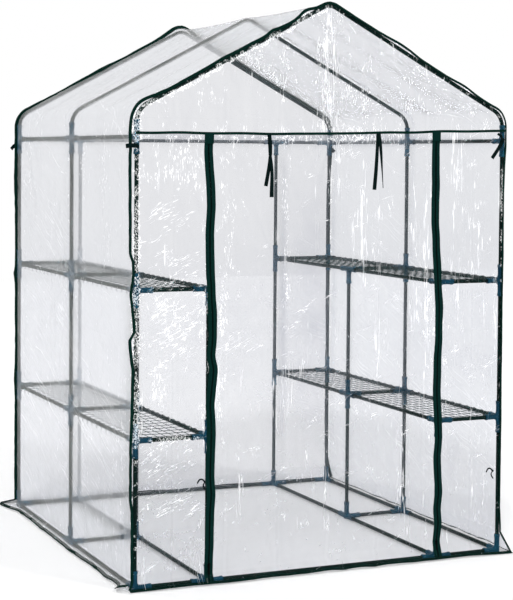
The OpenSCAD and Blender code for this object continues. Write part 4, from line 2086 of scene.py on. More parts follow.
@dataclass
class Zip:
    """A zip: two tapes, two rows of teeth and a slider with its pull tab.

    Args:
        lines: The cover's shared lines.
        side: Which side of the doorway.
        sways: Heights and how far the line wanders there from its nominal line, from the top down.
        tape_width: Width of each tape.
        tape_gap: Gap between the tapes' inner edges.
        tooth: Width, depth and length of a tooth.
        tooth_pitch: Distance between teeth in a row.
        slider_z: Height of the slider.
        tape_thick: Thickness of the tapes.
        seam_places: How far the two rows of stitches lie from a tape's inner and outer edge.
        teeth_apart: How far each row of teeth lies from the middle.
        off: How far the zip lies before the film.
        station: Distance between points of its line.
        foot: How far above the ground it ends.
    """

    lines: CoverLines
    side: Side
    sways: Rows
    tape_width: float = 0.0158
    tape_gap: float = 0.0002
    tooth: tuple[float, float, float] = (0.0046, 0.0030, 0.0017)
    tooth_pitch: float = 0.0028
    slider_z: float = 0.062
    tape_thick: float = 0.0012
    seam_places: tuple[float, float] = (0.0055, 0.0022)
    teeth_apart: float = 0.0011
    off: float = 0.0028
    station: float = 0.006
    foot: float = 0.009

    @property
    def nominal(self) -> float:
        """X that the zip's line keeps to."""
        return self.side.value * abs(self.lines.at.zip_x)

    def x(self, z: Array) -> Array:
        """X of the zip's middle at heights z.

        Args:
            z: Heights, in metres.

        Returns:
            One X a height.
        """
        heights, reaches = zip(*self.sways[::-1])
        sway = sum(np.interp(z + off, heights, reaches) for off in (-0.008, 0.0, 0.008)) / 3.0
        return self.nominal + sway + wave(z, 0.0008, 0.05, 80 + self.side.value)

    def path(self) -> Array:
        """Middle line from the seam down to the ground.

        Returns:
            Points of the line.
        """
        top = float(self.lines.seam(np.array([self.nominal]))[0])
        z = np.arange(top + 0.001, self.foot, -self.station)
        x = self.x(z)
        y = self.lines.end_y(End.FRONT, x, z) - self.off - wave(z, 0.0012, 0.06, 83)
        return np.stack([x, y, z], axis=1)

    def build(self, tape: Material, teeth: Material, sewing: Sewing, beads: GeometryTree) -> None:
        """Builds the tapes, stitches, teeth and slider.

        Args:
            tape: Look of the tape.
            teeth: Look of the teeth.
            sewing: Thread and its stitch.
            beads: Nodes that set a row of teeth.
        """
        name = f"door_zip_{self.side.name.lower()}"
        path = self.path()
        across = np.tile([1.0, 0.0, 0.0], (len(path), 1))
        stock, seams = Stock(), []
        for way in (-1.0, 1.0):
            lean = 0.10 * soft_noise(path[:, 2] / 0.07, np.full(len(path), way), 84)
            wide = unit(across * way + np.stack([0 * lean, lean, 0 * lean], axis=1))
            edge = path + wide * (self.tape_gap / 2)
            stock.strip(edge, wide, rounded_bar(self.tape_width, self.tape_thick))
            seams += [edge + wide * place + np.array([0.0, -0.0008, 0.0])
                      for place in (self.seam_places[0], self.tape_width - self.seam_places[1])]
        stop = path[:7] + np.array([0.0, -0.0030, 0.0])
        stock.strip(stop, across[:7], rounded_bar(self.tape_width * 2.1, 0.0016, -self.tape_width * 1.05))
        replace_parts(dressed(stock.piece(name + "_tapes"), tape), name)
        sewing.rows(name + "_stitches", seams)
        fine = (spaced(path[4:], 0.003) + np.array([0.0, -0.0006, 0.0]))[2:]
        rows = [fine + np.array([-self.teeth_apart, 0.0, 0.0]),
                fine + np.array([self.teeth_apart, 0.0, self.tooth_pitch / 2])]
        mesh = beads.grow(name + "_teeth", rows, {
            "Pitch": self.tooth_pitch, "Size": self.tooth, "Sides": 6, "Loose": 0.0, "Seed": 1,
            "Material": teeth})
        dressed(linked(name + "_teeth", mesh), teeth)
        dressed(self.slider(path).piece(name + "_slider"), teeth)

    def slider(self, path: Array) -> Stock:
        """A wedge-shaped slider, the bridge on it and its tab, hanging at the foot of the zip.

        Args:
            path: Middle line of the zip.

        Returns:
            The gathered faces.
        """
        stock = Stock()
        at = path[int(np.argmin(np.abs(path[:, 2] - self.slider_z)))] + np.array([0.0, -0.0015, 0.0])
        z = np.linspace(SLIDER_HALF, -SLIDER_HALF, 7)
        bridge = np.linspace(BRIDGE_HALF, -BRIDGE_HALF, 9)
        tab = np.linspace(0.0, -TAB_LENGTH, 12)
        arch = -0.0030 - 0.0022 * np.cos(bridge / BRIDGE_HALF * 1.5)
        swell = 1.0 - 0.25 * np.abs(z / SLIDER_HALF) ** 3 + 0.1 * z / SLIDER_HALF
        widened = 0.75 + 0.45 * ease(-tab / 0.024)
        for line, width, thick, taper in (
                ((0 * z, 0 * z, z), 0.010, 0.0058, swell),
                ((0 * bridge, arch, bridge), 0.0022, 0.0011, 1.0),
                ((0.1 * tab, -0.0052 + 0.06 * tab, 0.001 + tab), 0.0060, 0.0014, widened)):
            body = at + np.stack(line, axis=1)
            across = np.tile([1.0, 0.0, 0.0], (len(body), 1))
            stock.strip(body, across, rounded_bar(width, thick, -width / 2), taper)
        return stock


def curve_through(points: list[Point], step: float = 0.004, parts: int = 24) -> Array:
    """A smooth line through a few points, with stations a step apart.

    Args:
        points: Points to pass through.
        step: Distance between stations, in metres.
        parts: In how many parts each span is worked out.

    Returns:
        The stations.
    """
    p = np.array(points, float)
    p = np.concatenate([[2 * p[0] - p[1]], p, [2 * p[-1] - p[-2]]])
    u = np.linspace(0.0, 1.0, parts, endpoint=False)[:, None]
    spans = [0.5 * (2 * b + (c - a) * u + (2 * a - 5 * b + 4 * c - d) * u**2 + (3 * b - a - 3 * c + d) * u**3)
             for a, b, c, d in zip(p[:-3], p[1:-2], p[2:-1], p[3:])]
    return spaced(np.concatenate([*spans, p[-2:-1]]), step)


@dataclass
class Ribbons:
    """Ribbon ties: pairs knotted over the door to hold it rolled up, and short straps at the corners.

    Args:
        lines: The cover's shared lines.
        width: Width of the ribbon.
        thick: Its thickness.
        inset: How far the middle of a pair lies in from the end of the door ties' box.
        turns: How many half turns a knot is wound.
        wound: Width of the ribbon in a knot, of its full width.
    """

    lines: CoverLines
    width: float = 0.0145
    thick: float = 0.0011
    inset: float = 0.0155
    turns: float = 3.1
    wound: float = 0.55

    def strand(self, stock: Stock, start: Point, offsets: Rows, ends: tuple[Point, Point],
               taper: tuple[float, float] = (1.0, 1.0)) -> None:
        """Adds a length of ribbon.

        Args:
            stock: Where it goes.
            start: The point that its other points are given from.
            offsets: A few points that it passes through.
            ends: Direction of its width at its two ends.
            taper: Size at its two ends, where it is folded or pulled together.
        """
        path = curve_through([tuple(a + b for a, b in zip(start, offset)) for offset in offsets])
        share = ease(np.linspace(0.0, 1.0, len(path)))[:, None]
        side = np.array(ends[0]) * (1.0 - share) + np.array(ends[1]) * share
        along = slopes(path)
        wide = unit(side - along * (side * along).sum(axis=1, keepdims=True))
        size = taper[0] + (taper[1] - taper[0]) * np.linspace(0.0, 1.0, len(path)) ** 0.5
        stock.strip(path, wide, rounded_bar(self.width, self.thick, -self.width / 2), size)

    def knot(self, stock: Stock, at: Point, size: float = 0.0052) -> None:
        """Adds a knot: a ribbon wound once and a half round itself.

        Args:
            stock: Gathers the faces.
            at: Middle of the knot.
            size: Its half width, in metres.
        """
        turn = np.linspace(0.0, self.turns * math.pi, 26)
        path = np.array(at) + np.stack([size * np.cos(turn), 0.6 * size * np.sin(turn),
                                        size * (0.5 - turn / turn[-1]) * 1.4], axis=1)
        wide = unit(np.stack([0.15 * np.cos(turn), 0.15 * np.sin(turn), np.ones_like(turn)], axis=1))
        stock.strip(path, wide, rounded_bar(self.width * self.wound, self.thick * 1.5, -self.width * 0.27))

    def door_ties(self, stock: Stock) -> None:
        """Adds the two pairs that hang from the seam over the door: one knotted, one loose.

        Args:
            stock: Gathers the faces.
        """
        low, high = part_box("door_ties")
        x = low.x + self.inset
        z = float(self.lines.seam(np.array([x]))[0])
        y = float(self.lines.end_y(End.FRONT, np.array([x]), np.array([z]))[0]) - 0.006
        knot = (0.001, -0.006, -0.070)
        for strand in (
            (((0.0, 0.003, 0.002), (0.001, -0.003, -0.04), knot), ((1, 0, 0), (1, -0.3, 0)), (1.05, 0.9)),
            (((0.001, 0.0, -0.004), (0.002, -0.006, -0.04), knot), ((1, 0.2, 0), (1, 0, 0)), (0.9, 0.8)),
            ((knot, (-0.004, -0.008, -0.11), (-0.015, -0.006, -0.176)),
             ((1, -0.2, 0), (1, 0.1, 0.1)), (0.7, 1.0)),
            ((knot, (0.005, -0.011, -0.125), (0.005, -0.01, -0.213)),
             ((1, 0.3, 0), (1, -0.1, 0)), (0.7, 1.0)),
        ):
            self.strand(stock, (x, y, z), *strand)
        self.knot(stock, (x + knot[0], y + knot[1], z + knot[2]))
        x = high.x - self.inset
        z = float(self.lines.seam(np.array([x]))[0])
        self.strand(stock, (x, y, z), (
            (-0.002, 0.003, 0.002), (-0.008, -0.005, -0.06), (-0.013, -0.007, -0.13),
            (-0.018, -0.006, -0.196)),
            ((1, 0.1, 0), (1, -0.2, 0)), (0.8, 0.95))
        self.strand(stock, (x, y, z), (
            (0.002, 0.003, 0.002), (0.005, -0.006, -0.05), (0.01, -0.009, -0.13), (0.015, -0.008, -0.19)),
            ((1, -0.1, 0), (0.6, 0.8, 0)), (0.9, 0.8))

    def corner_ties(self, stock: Stock) -> None:
        """Adds the straps at the four upper corners and the small loops near the ground.

        Args:
            stock: Gathers the faces.
        """
        at = self.lines.at
        front, z = -at.post_y - at.skin, at.eave_z
        start = (at.wall, front, z)
        self.strand(stock, (-at.wall, front, z), (
            (0.014, -0.004, -0.030), (-0.008, -0.007, -0.029), (-0.031, -0.003, -0.031)), (UP, UP))
        self.strand(stock, start, ((-0.016, -0.005, 0.01), (-0.034, -0.009, -0.02), (-0.062, -0.005, -0.062)),
                    ((1.0, 0.0, 0.3), (1.0, 0.1, -0.8)))
        self.strand(stock, start, ((-0.018, -0.005, 0.004), (-0.03, -0.014, 0.016), (-0.042, -0.008, 0.026)),
                    (UP, (0.6, 0.0, 1.0)), (0.7, 0.6))
        self.knot(stock, (at.wall - 0.022, front - 0.008, z + 0.002))
        for way in (side.value for side in Side):
            self.strand(stock, (way * at.wall, -front, z), (
                (-0.012 * way, 0.004, -0.022), (0.006 * way, 0.006, -0.026), (0.02 * way, 0.002, -0.04)),
                (UP, UP))
        flat, upright = (0.0, 0.3, 1.0), (1.0, 0.3, 0.0)
        for x, base in ((-0.444, 0.343), (at.post_x - 0.016, 0.300)):
            start = (x, front + 0.016, base)
            self.strand(stock, start, ((0.0, 0.0, -0.006), (-0.008, 0.006, 0.004), (-0.020, 0.004, 0.005),
                                       (-0.030, 0.0, -0.006)), (flat, flat), (0.42, 0.34))
            self.strand(stock, start, ((0.001, 0.002, 0.0), (-0.006, 0.005, -0.016), (0.001, 0.002, -0.032)),
                        (upright, upright), (0.44, 0.40))

    def build(self, material: Material) -> None:
        """Builds the door ties and the corner ties.

        Args:
            material: Look of the ribbon.
        """
        for node, add in (("door_ties", self.door_ties), ("corner_ties", self.corner_ties)):
            stock = Stock()
            add(stock)
            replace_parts(dressed(stock.piece(f"{node}_ribbon"), material), node)


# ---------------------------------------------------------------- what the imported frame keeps

TUBES = ("post_", "inner_posts_", "roof_hoop_", "base_bar", "base_rails", "lower_shelf_rails",
         "upper_shelf_rails", "eave_rail", "eave_bar")


@dataclass
class TubeFrame:
    """The steel tubes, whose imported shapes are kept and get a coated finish.

    Args:
        finish: The tubes' finish.
    """

    finish: CoatedFinish

    def build(self, effects: Effects) -> None:
        """Gives every tube the finish.

        Args:
            effects: The shared groups.
        """
        material = self.finish.material(effects)
        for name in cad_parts:
            if name.startswith(TUBES):
                thing = bpy.data.objects[name]
                thing.data.materials.clear()
                thing.data.materials.append(material)
                LOG.info("%s: packed shape, new finish", name)


# ---------------------------------------------------------------- the cover

ACROSS = 9.0


def fanned(seed: int, *rows: tuple[float, ...]) -> tuple[Fan, ...]:
    """Fans of folds whose seeds count on from the first."""
    return tuple(Fan(*row, seed + k) for k, row in enumerate(rows))


@dataclass
class Cover:
    """The film cover: two sides with their roof slopes, the back, and four pieces at the front.

    Each region where a sheet is creased more, with more painted glints, or has painted sheen and shade, is a
    row: across, down, half the width, half the length, amount.

    Args:
        lines: The lines that the sheets share.
        zips: The left and right zip of the doorway.
        under_tape: How far a sheet's edge lies beside a zip's middle.
        side_slack: Length that the sag and creases of a side take up.
        back_slack: The same for the back.
        front_slack: Width that they take up in a sheet beside a zip.
    """

    lines: CoverLines
    zips: dict[Side, Zip]
    under_tape: float = 0.006
    side_slack: float = 0.03
    back_slack: float = 0.02
    front_slack: float = 0.01

    @property
    def width(self) -> float:
        """Width of an end wall between its corners."""
        return 2 * self.lines.at.wall

    def corners(self, end: End, z: Array) -> tuple[Array, Array]:
        """X of both corners of an end at heights z."""
        return self.lines.corner_x(Side.LEFT, end, z), self.lines.corner_x(Side.RIGHT, end, z)

    def build_side(self, side: Side, material: Material) -> None:
        """Builds the film of one side.

        Args:
            side: The side.
            material: Look of the film.
        """
        at, name, seed = self.lines.at, side.name.lower(), 100 + side.value
        length = Profile(at, at.skin).length
        upper, lower, eave = (length - z for z in (at.upper_z, at.lower_z, at.eave_z))
        fans = fanned(seed + 1, (0.0, upper, 0.3, 26.0, 0.0035), (0.0, lower, 0.26, 22.0, 0.003),
                      (-at.post_y, eave, 0.24, 24.0, 0.0026), (0.0, eave, 0.22, 24.0, 0.0028),
                      (-at.post_y * 0.9, length - 0.1, 0.35, 18.0, 0.003))
        unrest = {
            Mark.FINE: (
                (-0.16, length - 1.36, 0.05, 0.09, 0.55), (-0.39, length - 1.33, 0.05, 0.12, 0.5),
                (-0.42, length - 1.1, 0.06, 0.1, 0.45), (0.55, length - 1.3, 0.12, 0.25, 0.35),
                (0.0, upper, 0.16, 0.1, 0.4), (0.0, lower, 0.14, 0.12, 0.35),
                (-0.55, length - 0.45, 0.14, 0.25, 0.35), (-0.62, 0.45, 0.1, 0.35, 0.4),
                (0.05, 0.4, 0.08, 0.3, 0.3)),
            Mark.LONG: (
                (-0.55, length - 1.36, 0.02, 0.12, 0.6), (0.35, length - 1.15, 0.35, 0.35, 0.45),
                (-0.35, length - 0.4, 0.35, 0.3, 0.55), (0.4, length - 0.5, 0.35, 0.35, 0.5)),
            Mark.TOUCH: (
                (-0.7, length - 0.98, 0.018, 0.75, 1.2), (-0.7, 0.4, 0.012, 0.4, 0.9),
                (0.0, length - 1.25, 0.01, 0.3, 0.45), (0.69, length - 1.1, 0.016, 0.45, 0.5),
                (0.0, 0.45, 0.01, 0.5, 0.4), (-0.3, eave, 0.35, 0.01, 0.45), (-0.3, upper, 0.45, 0.01, 0.4)),
            # Painted sheen and shade: broad bands of extra haze that darken the film, and patches that pale
            # the tubes behind it.
            Mark.VEIL: (
                (0.0, length - 0.74, ACROSS, 0.36, 0.12), (-0.022, length - 1.25, 0.024, 0.35, 0.25),
                (0.668, length - 1.05, 0.026, 0.6, 0.28), (-0.045, 0.12, 0.03, 0.05, 0.3),
                (-0.045, 0.33, 0.03, 0.05, 0.28), (-0.045, 0.52, 0.03, 0.06, 0.3),
                (-0.035, 0.74, 0.03, 0.07, 0.3), (0.65, 0.45, 0.03, 0.3, 0.22), (0.0, eave, 0.7, 0.013, 0.24),
                (0.0, length - 0.18, ACROSS, 0.22, 0.12))}
        crumples = (Crumple(0.3, 0.075, 0.003, seed, turn=-28.0 * side.value),
                    Crumple(0.06, 0.024, 0.0012, seed + 50))
        SideFilm(self.lines, f"cover_side_{name}", (f"cover_wall_{name}", f"cover_roof_{name}"),
                 (self.width, length + self.side_slack), crumples, fans, unrest, (0.22, 0.06, 0.25),
                 side=side).build(material)

    def build_back(self, material: Material) -> None:
        """Builds the film of the back wall and its gable.

        Args:
            material: Look of the film.
        """
        at = self.lines.at
        pulled = ((at.inner_x, at.upper_z), (-at.inner_x, at.lower_z), (at.post_x, at.eave_z),
                  (-at.post_x, at.eave_z), (0.0, at.eave_z))
        unrest = {Mark.FINE: ((-0.6, 1.4, 0.2, 0.2, 0.4), (0.5, 1.45, 0.25, 0.15, 0.4)),
                  Mark.SLANT: ((-0.5, 0.4, 0.2, 0.3, 0.35), (0.5, 0.5, 0.15, 0.2, 0.35)),
                  # Painted sheen and shade: a broad band of extra haze that darkens the film, and a patch
                  # that pales the post behind it.
                  Mark.VEIL: ((0.62, 0.75, 0.12, 0.6, 0.22), (0.0, 0.74, ACROSS, 0.36, 0.07))}
        EndFilm(self.lines, "cover_back", ("cover_wall_back",), (self.width, at.peak_z + self.back_slack),
                (Crumple(0.32, 0.08, 0.0032, 201, turn=-20.0), Crumple(0.07, 0.028, 0.0013, 202)),
                fanned(210, *((x, z, 0.28, 24.0, 0.0032) for x, z in pulled)), unrest,
                area=self.width * (at.bend_z + (at.peak_z - at.bend_z) / 2), end=End.BACK, counts=(228, 160),
                spans=partial(self.corners, End.BACK),
                top=partial(self.lines.roof_z, End.BACK)).build(material)

    def build_gable(self, material: Material) -> None:
        """Builds the film over the door, up to the roof.

        Args:
            material: Look of the film.
        """
        at = self.lines.at
        height = at.peak_z - at.seam_z
        rows = {
            Mark.FINE: (
                (-0.6, 0.06, 0.03, 0.08, 0.35), (-0.48, 0.14, 0.03, 0.1, 0.45), (-0.4, 0.15, 0.03, 0.13, 0.5),
                (-0.27, 0.27, 0.025, 0.08, 0.6), (-0.18, 0.18, 0.02, 0.15, 0.55),
                (-0.01, 0.22, 0.045, 0.24, 0.75), (0.06, 0.1, 0.03, 0.1, 0.4), (0.13, 0.14, 0.02, 0.14, 0.45),
                (0.31, 0.1, 0.02, 0.12, 0.35), (0.45, 0.12, 0.05, 0.06, 0.3), (0.62, 0.06, 0.05, 0.08, 0.35),
                (0.0, 0.0, 0.9, 0.02, 0.3)),
            Mark.LONG: ((-0.18, 0.1, 0.01, 0.2, 0.6), (0.0, 0.2, 0.03, 0.25, 0.7)),
            Mark.TOUCH: ((-0.7, 0.03, 0.025, 0.09, 1.2),)}
        unrest = {mark: tuple((x, at.seam_z + up, *size) for x, up, *size in part)
                  for mark, part in rows.items()}
        EndFilm(self.lines, "cover_gable_front", ("cover_front_gable",), (self.width, height),
                (Crumple(0.22, 0.035, 0.0024, 301, turn=4.0), Crumple(0.055, 0.016, 0.001, 302, turn=-8.0)),
                fanned(303, (0.0, at.peak_z, 0.3, 22.0, 0.0028)), unrest, (0.28, 0.0, 0.30),
                area=0.5 * self.width * height * 1.08, wrapped=(0.85, 0.35), counts=(84, 250),
                spans=partial(self.corners, End.FRONT), top=partial(self.lines.roof_z, End.FRONT),
                bottom=self.lines.seam).build(material)

    def build_front(self, material: Material) -> None:
        """Builds the two fixed front panels and the door.

        Args:
            material: Look of the film.
        """
        at, under = self.lines.at, self.under_tape
        left, right = self.zips[Side.LEFT], self.zips[Side.RIGHT]
        left_unrest = {
            Mark.FINE: (
                (-0.55, 1.42, 0.14, 0.12, 0.6), (-0.6, 0.93, 0.12, 0.07, 0.35),
                (-0.63, 0.66, 0.05, 0.16, 0.4), (-0.45, 0.9, 0.02, 0.9, 0.4)),
            Mark.SLANT: (
                (-0.6, 1.2, 0.11, 0.1, 0.6), (-0.55, 1.05, 0.14, 0.06, 0.4), (-0.56, 0.9, 0.13, 0.1, 0.55),
                (-0.58, 0.76, 0.1, 0.1, 0.5), (-0.62, 0.42, 0.1, 0.09, 0.45), (-0.56, 0.27, 0.14, 0.04, 0.5)),
            Mark.TOUCH: (
                (-0.697, 1.0, 0.016, 0.75, 1.2), (-0.56, at.eave_z, 0.2, 0.009, 0.6),
                (-0.58, at.upper_z, 0.13, 0.007, 0.45), (-0.56, at.lower_z, 0.14, 0.009, 1.0)),
            # Painted sheen and shade: broad bands of extra haze that darken the film, and a band that pales
            # the rail behind it.
            Mark.VEIL: (
                (-0.5, at.eave_z, 0.3, 0.02, 0.35), (0.0, 0.74, ACROSS, 0.36, 0.05),
                (0.0, 0.2, ACROSS, 0.22, 0.12))}
        right_unrest = {
            Mark.FINE: (
                (0.55, 1.36, 0.07, 0.14, 0.4), (0.6, 1.18, 0.06, 0.1, 0.35), (0.46, 0.75, 0.02, 0.3, 0.35),
                (0.66, 0.98, 0.03, 0.05, 0.4)),
            Mark.LONG: (
                (0.53, 1.36, 0.02, 0.12, 0.5), (0.58, 1.12, 0.02, 0.14, 0.5), (0.5, 1.4, 0.015, 0.1, 0.6)),
            Mark.TOUCH: (
                (0.695, 1.26, 0.012, 0.2, 1.0), (0.56, at.eave_z, 0.2, 0.009, 0.35),
                (0.695, 0.8, 0.01, 0.5, 0.3)),
            # Painted sheen and shade: a broad band of extra haze that darkens the film, and patches that pale
            # the tubes behind it.
            Mark.VEIL: (
                (0.5, at.eave_z, 0.2, 0.02, 0.2), (0.695, 1.26, 0.01, 0.15, 0.6),
                (0.0, 0.8, ACROSS, 0.36, 0.11))}
        door_unrest = {
            Mark.FINE: (
                (0.0, 1.49, 0.5, 0.025, 0.5), (-0.37, 1.26, 0.05, 0.24, 0.5), (-0.16, 1.2, 0.02, 0.3, 0.45),
                (-0.39, 0.7, 0.02, 0.5, 0.35), (0.06, 1.45, 0.05, 0.05, 0.35), (0.18, 0.33, 0.05, 0.04, 0.55),
                (0.4, 0.85, 0.02, 0.25, 0.45), (-0.3, 0.45, 0.04, 0.05, 0.4)),
            Mark.SLANT: (
                (-0.33, 0.8, 0.08, 0.07, 0.65), (-0.12, 0.86, 0.04, 0.06, 0.55),
                (-0.15, 0.36, 0.03, 0.03, 0.6), (-0.15, 0.65, 0.05, 0.1, 0.35)),
            Mark.LONG: (
                (0.13, 1.22, 0.012, 0.25, 0.85), (0.19, 1.05, 0.012, 0.42, 0.8), (0.33, 1.2, 0.01, 0.2, 0.8),
                (0.385, 1.05, 0.014, 0.36, 0.85)),
            Mark.TOUCH: ((-0.16, 1.05, 0.01, 0.35, 0.5), (-0.1, at.eave_z, 0.5, 0.012, 0.7)),
            # Painted sheen and shade: a broad band of extra haze that darkens the film, and patches that pale
            # the tubes behind it.
            Mark.VEIL: (
                (0.0, at.eave_z, 0.6, 0.02, 0.45), (-0.174, 0.95, 0.014, 0.5, 0.3),
                (0.0, 0.82, ACROSS, 0.34, 0.07))}
        panels = (
            ("cover_front_panel_left", "cover_front_left", -at.post_x, left_unrest, 60, 0.0,
             lambda z: (self.lines.corner_x(Side.LEFT, End.FRONT, z), left.x(z) - under)),
            ("cover_front_panel_right", "cover_front_right", at.post_x, right_unrest, 60, 0.0,
             lambda z: (right.x(z) + under, self.lines.corner_x(Side.RIGHT, End.FRONT, z))),
            ("door_film", "door_panel", 0.0, door_unrest, 158, 0.004,
             lambda z: (left.x(z) + under, right.x(z) - under)))
        for number, (name, node, pulled_at, unrest, columns, billow, spans) in enumerate(panels):
            start, stop = (float(edge[0]) for edge in spans(np.array([at.upper_z])))
            EndFilm(self.lines, name, (node,), (stop - start + self.front_slack, at.seam_z),
                    (Crumple(0.26, 0.07, 0.0026, 401 + number, turn=-14.0),
                     Crumple(0.05, 0.02, 0.0011, 411 + number)),
                    fanned(421 + number, (pulled_at, at.eave_z, 0.2, 22.0, 0.0024)), unrest,
                    counts=(260, columns), billow=billow, spans=spans, top=self.lines.seam).build(material)


# ---------------------------------------------------------------- the stage


def aimed(azimuth: float, height: float) -> Vector:
    """Direction given in degrees from +Y towards +X, and above level."""
    turn, lift = math.radians(azimuth), math.radians(height)
    return Vector((math.sin(turn) * math.cos(lift), math.cos(turn) * math.cos(lift), math.sin(lift)))


@dataclass
class Studio:
    """The floor, the world's light, the lamps and the camera.

    Args:
        sky: Strength of the world's light on the object.
        lamp_light: Light that each lamp gives a surface that faces it, of a white world's 1.
        lamp_spread: How wide the lamps look from the object, in degrees.
        floor_half: Half the floor's width.
        floor_tone: Colour of the floor.
        floor_glow: What the floor shows to the camera on top of the light that falls on it.
        eye: Where the camera is.
        yaw: Its turn from +Y towards +X, in degrees.
        tilt: Its tilt above level, in degrees.
        roll: Its roll, in degrees.
        lens: Focal length, in millimetres.
        sensor: Width of the sensor, in millimetres.
        rise: Upward shift of its view.
    """

    sky: float = 0.60
    lamp_light: float = 0.28
    lamp_spread: float = 9.0
    floor_half: float = 12.0
    floor_tone: float = 0.86
    floor_glow: float = 0.235
    eye: Point = (-2.487, -5.692, 1.428)
    yaw: float = 23.95
    tilt: float = -2.11
    roll: float = 0.43
    lens: float = 97.79
    sensor: float = 36.0
    rise: float = -0.14

    def floor(self) -> None:
        """Builds a matt floor that shows pale to the camera and in reflections."""
        mesh = bpy.data.meshes.new("floor")
        ring = [(x * self.floor_half, y * self.floor_half, 0) for x, y in SQUARE]
        mesh.from_pydata(ring, [], [(0, 1, 2, 3)])
        paint = Paint("floor_paper")
        mesh.materials.append(paint.done({
            "Base Color": (*(self.floor_tone,) * 3, 1.0), "Roughness": 1.0, "Specular IOR Level": 0.0,
            "Emission Strength": 1.0,
            "Emission Color": paint.grey(paint.math("MULTIPLY", paint.seen(), self.floor_glow))}))
        linked("floor", mesh)

    def world(self) -> None:
        """Lights the object from all round, with white behind it."""
        world = bpy.data.worlds.new("studio")
        world.use_nodes = True
        world.node_tree.nodes.clear()
        canvas = Canvas(world.node_tree)
        strength = canvas.math("MULTIPLY_ADD", canvas.seen(), 1.0 - self.sky, self.sky)
        glow = canvas.add("ShaderNodeBackground", {"Color": (1.0, 1.0, 1.0, 1.0), "Strength": strength})
        canvas.add("ShaderNodeOutputWorld", {"Surface": glow.outputs[0]})
        bpy.context.scene.world = world

    def lamp(self, name: str, azimuth: float, height: float, share: float = 1.0) -> None:
        """Adds a far, broad lamp.

        Args:
            name: Its name.
            azimuth: Where it stands, in degrees from the front towards +X.
            height: How high it stands, in degrees.
            share: Its light, of `lamp_light`.
        """
        way = aimed(azimuth, height) * Vector((1.0, -1.0, 1.0))
        light = bpy.data.lights.new(name, "SUN")
        light.angle = math.radians(self.lamp_spread)
        light.energy = self.lamp_light * share * math.pi
        lamp = linked(name, light)
        lamp.location = way * 5.0
        lamp.rotation_euler = (-way).to_track_quat("-Z", "Y").to_euler()

    def camera(self) -> None:
        """Sets up the camera."""
        lens = bpy.data.cameras.new("camera")
        lens.lens = self.lens
        lens.sensor_width = self.sensor
        lens.shift_y = self.rise
        lens.clip_end = 100.0
        camera = linked("camera", lens)
        camera.location = self.eye
        level = aimed(self.yaw, self.tilt).to_track_quat("-Z", "Y")
        camera.rotation_euler = (level @ Quaternion((0.0, 0.0, 1.0), math.radians(self.roll))).to_euler()
        bpy.context.scene.camera = camera

    def build(self) -> None:
        """Builds the whole stage."""
        self.floor()
        self.world()
        self.lamp("lamp_left", -35.0, 40.0)
        self.lamp("lamp_right", 34.0, 42.0, 0.8)
        self.lamp("lamp_back", 217.0, 40.0, 0.5)
        self.camera()
        bpy.context.scene.view_settings.view_transform = "Standard"


# ---------------------------------------------------------------- all of it

LEFT_ZIP = ((1.51, -0.017), (1.44, -0.018), (1.26, -0.006), (1.16, -0.012), (1.02, -0.008), (0.9, 0.0),
            (0.83, 0.001), (0.765, -0.005), (0.72, 0.006), (0.6, -0.007), (0.5, -0.001), (0.36, -0.005),
            (0.3, -0.001), (0.24, -0.006), (0.12, -0.007), (0.0, -0.011))
RIGHT_ZIP = ((1.52, -0.015), (1.2, -0.014), (1.08, -0.008), (0.98, -0.001), (0.9, 0.005), (0.79, 0.004),
             (0.7, 0.0), (0.6, -0.001), (0.44, 0.008), (0.37, 0.004), (0.24, 0.01), (0.18, 0.006),
             (0.13, 0.01), (0.06, 0.003), (0.0, 0.004))
# How the painted glints along each kind of crease are drawn, at the front and on the sides and back.
FRONT_STROKES = {
    Mark.FINE: Stroke(88.0), Mark.SLANT: Stroke(-24.0, along=20.0),
    Mark.LONG: Stroke(90.0, along=6.0, across=90.0, width=0.05, bend=0.004, strength=0.9),
    Mark.TOUCH: Stroke(70.0, along=95.0, across=150.0, width=0.15, bend=0.02, strength=1.3)}
SIDE_STROKES = {
    Mark.FINE: Stroke(88.0, strength=0.55), Mark.SLANT: Stroke(30.0, strength=0.30),
    Mark.LONG: Stroke(22.0, along=2.2, across=45.0, width=0.035, strength=0.20),
    Mark.TOUCH: FRONT_STROKES[Mark.TOUCH]}


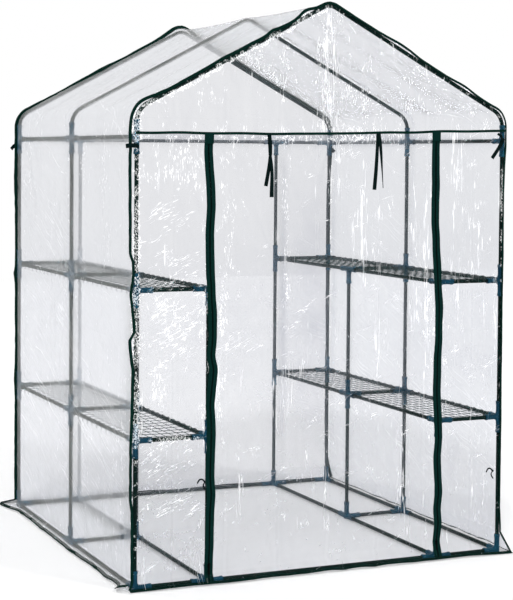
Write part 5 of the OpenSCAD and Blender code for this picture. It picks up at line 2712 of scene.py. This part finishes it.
def main() -> None:
    """Builds every piece, then the stage."""
    logging.basicConfig(level=logging.INFO, format="%(name)s: %(message)s")
    at, effects = Layout(), Effects()
    lines = CoverLines(at)
    beads, wires = beads_tree(), wires_tree()

    tube = CoatedFinish("coated_steel_tube", (0.001, 0.009, 0.0075), (0.004, 0.028, 0.022), 0.42, 0.07, 700.0,
                        6e-5, 0.03)
    moulded, wire, teeth, thread = (CoatedFinish(*values).material(effects) for values in (
        ("moulded_blue_plastic", (0.0015, 0.04, 0.074), (0.009, 0.094, 0.148), 0.45, 0.14, 1500.0, 4e-5,
         0.05),
        ("coated_green_wire", (0.003, 0.018, 0.016), (0.01, 0.044, 0.038), 0.40, 0.15, 1800.0, 3e-5, 0.03),
        ("moulded_black_teeth", (0.0005, 0.001, 0.001), (0.002, 0.004, 0.004), 0.60, 0.03, 2500.0, 2e-5, 0.0),
        ("sewing_thread", (0.005, 0.042, 0.036), (0.018, 0.09, 0.078), 0.70, 0.05, 3000.0, 6e-5, 0.0)))
    binding, zip_tape, ribbon = (TapeFinish(*values).material(effects) for values in (
        ("woven_edge_tape", (0.0005, 0.005, 0.004), (0.002, 0.028, 0.02)),
        ("woven_zip_tape", (0.0006, 0.007, 0.006), (0.003, 0.032, 0.027), 0.0009),
        ("woven_ribbon", (0.0005, 0.003, 0.003), (0.002, 0.012, 0.012), 0.0008, 0.04)))

    TubeFrame(tube).build(effects)
    Connectors(at).build(moulded)
    WireShelves(at).build(wires, wire)

    zips = {side: Zip(lines, side, sways) for side, sways in zip(Side, (LEFT_ZIP, RIGHT_ZIP))}
    cover = Cover(lines, zips)
    # One clear film, given a tint and haze per wall for how bright that wall looks: the sides a lighter tint
    # than the back, gable and front, the left side more haze than the right, and the gable a little less than
    # the front; painted light and shade.
    for side, haze, rim_haze in ((Side.LEFT, 0.30, 0.46), (Side.RIGHT, 0.20, 0.42)):
        film = FilmFinish(f"clear_film_side_{side.name.lower()}", SIDE_STROKES, haze, rim_haze, scatter=0.5,
                          mirror=1.9, tint=(0.575, 0.60, 0.663))
        cover.build_side(side, film.material(effects))
    cover.build_back(FilmFinish("clear_film_back", SIDE_STROKES).material(effects))
    cover.build_gable(FilmFinish("clear_film_gable", FRONT_STROKES, haze=0.18).material(effects))
    cover.build_front(FilmFinish("clear_film_front", FRONT_STROKES).material(effects))

    sewing = Sewing(beads, thread)
    edges = EdgeBinding(lines, binding, sewing)
    for end in End:
        edges.rim(end)
    edges.hem()
    edges.seam()
    for fastener in zips.values():
        fastener.build(zip_tape, teeth, sewing, beads)
    Ribbons(lines).build(ribbon)
    Studio().build()


if __name__ == "__main__":
    main()
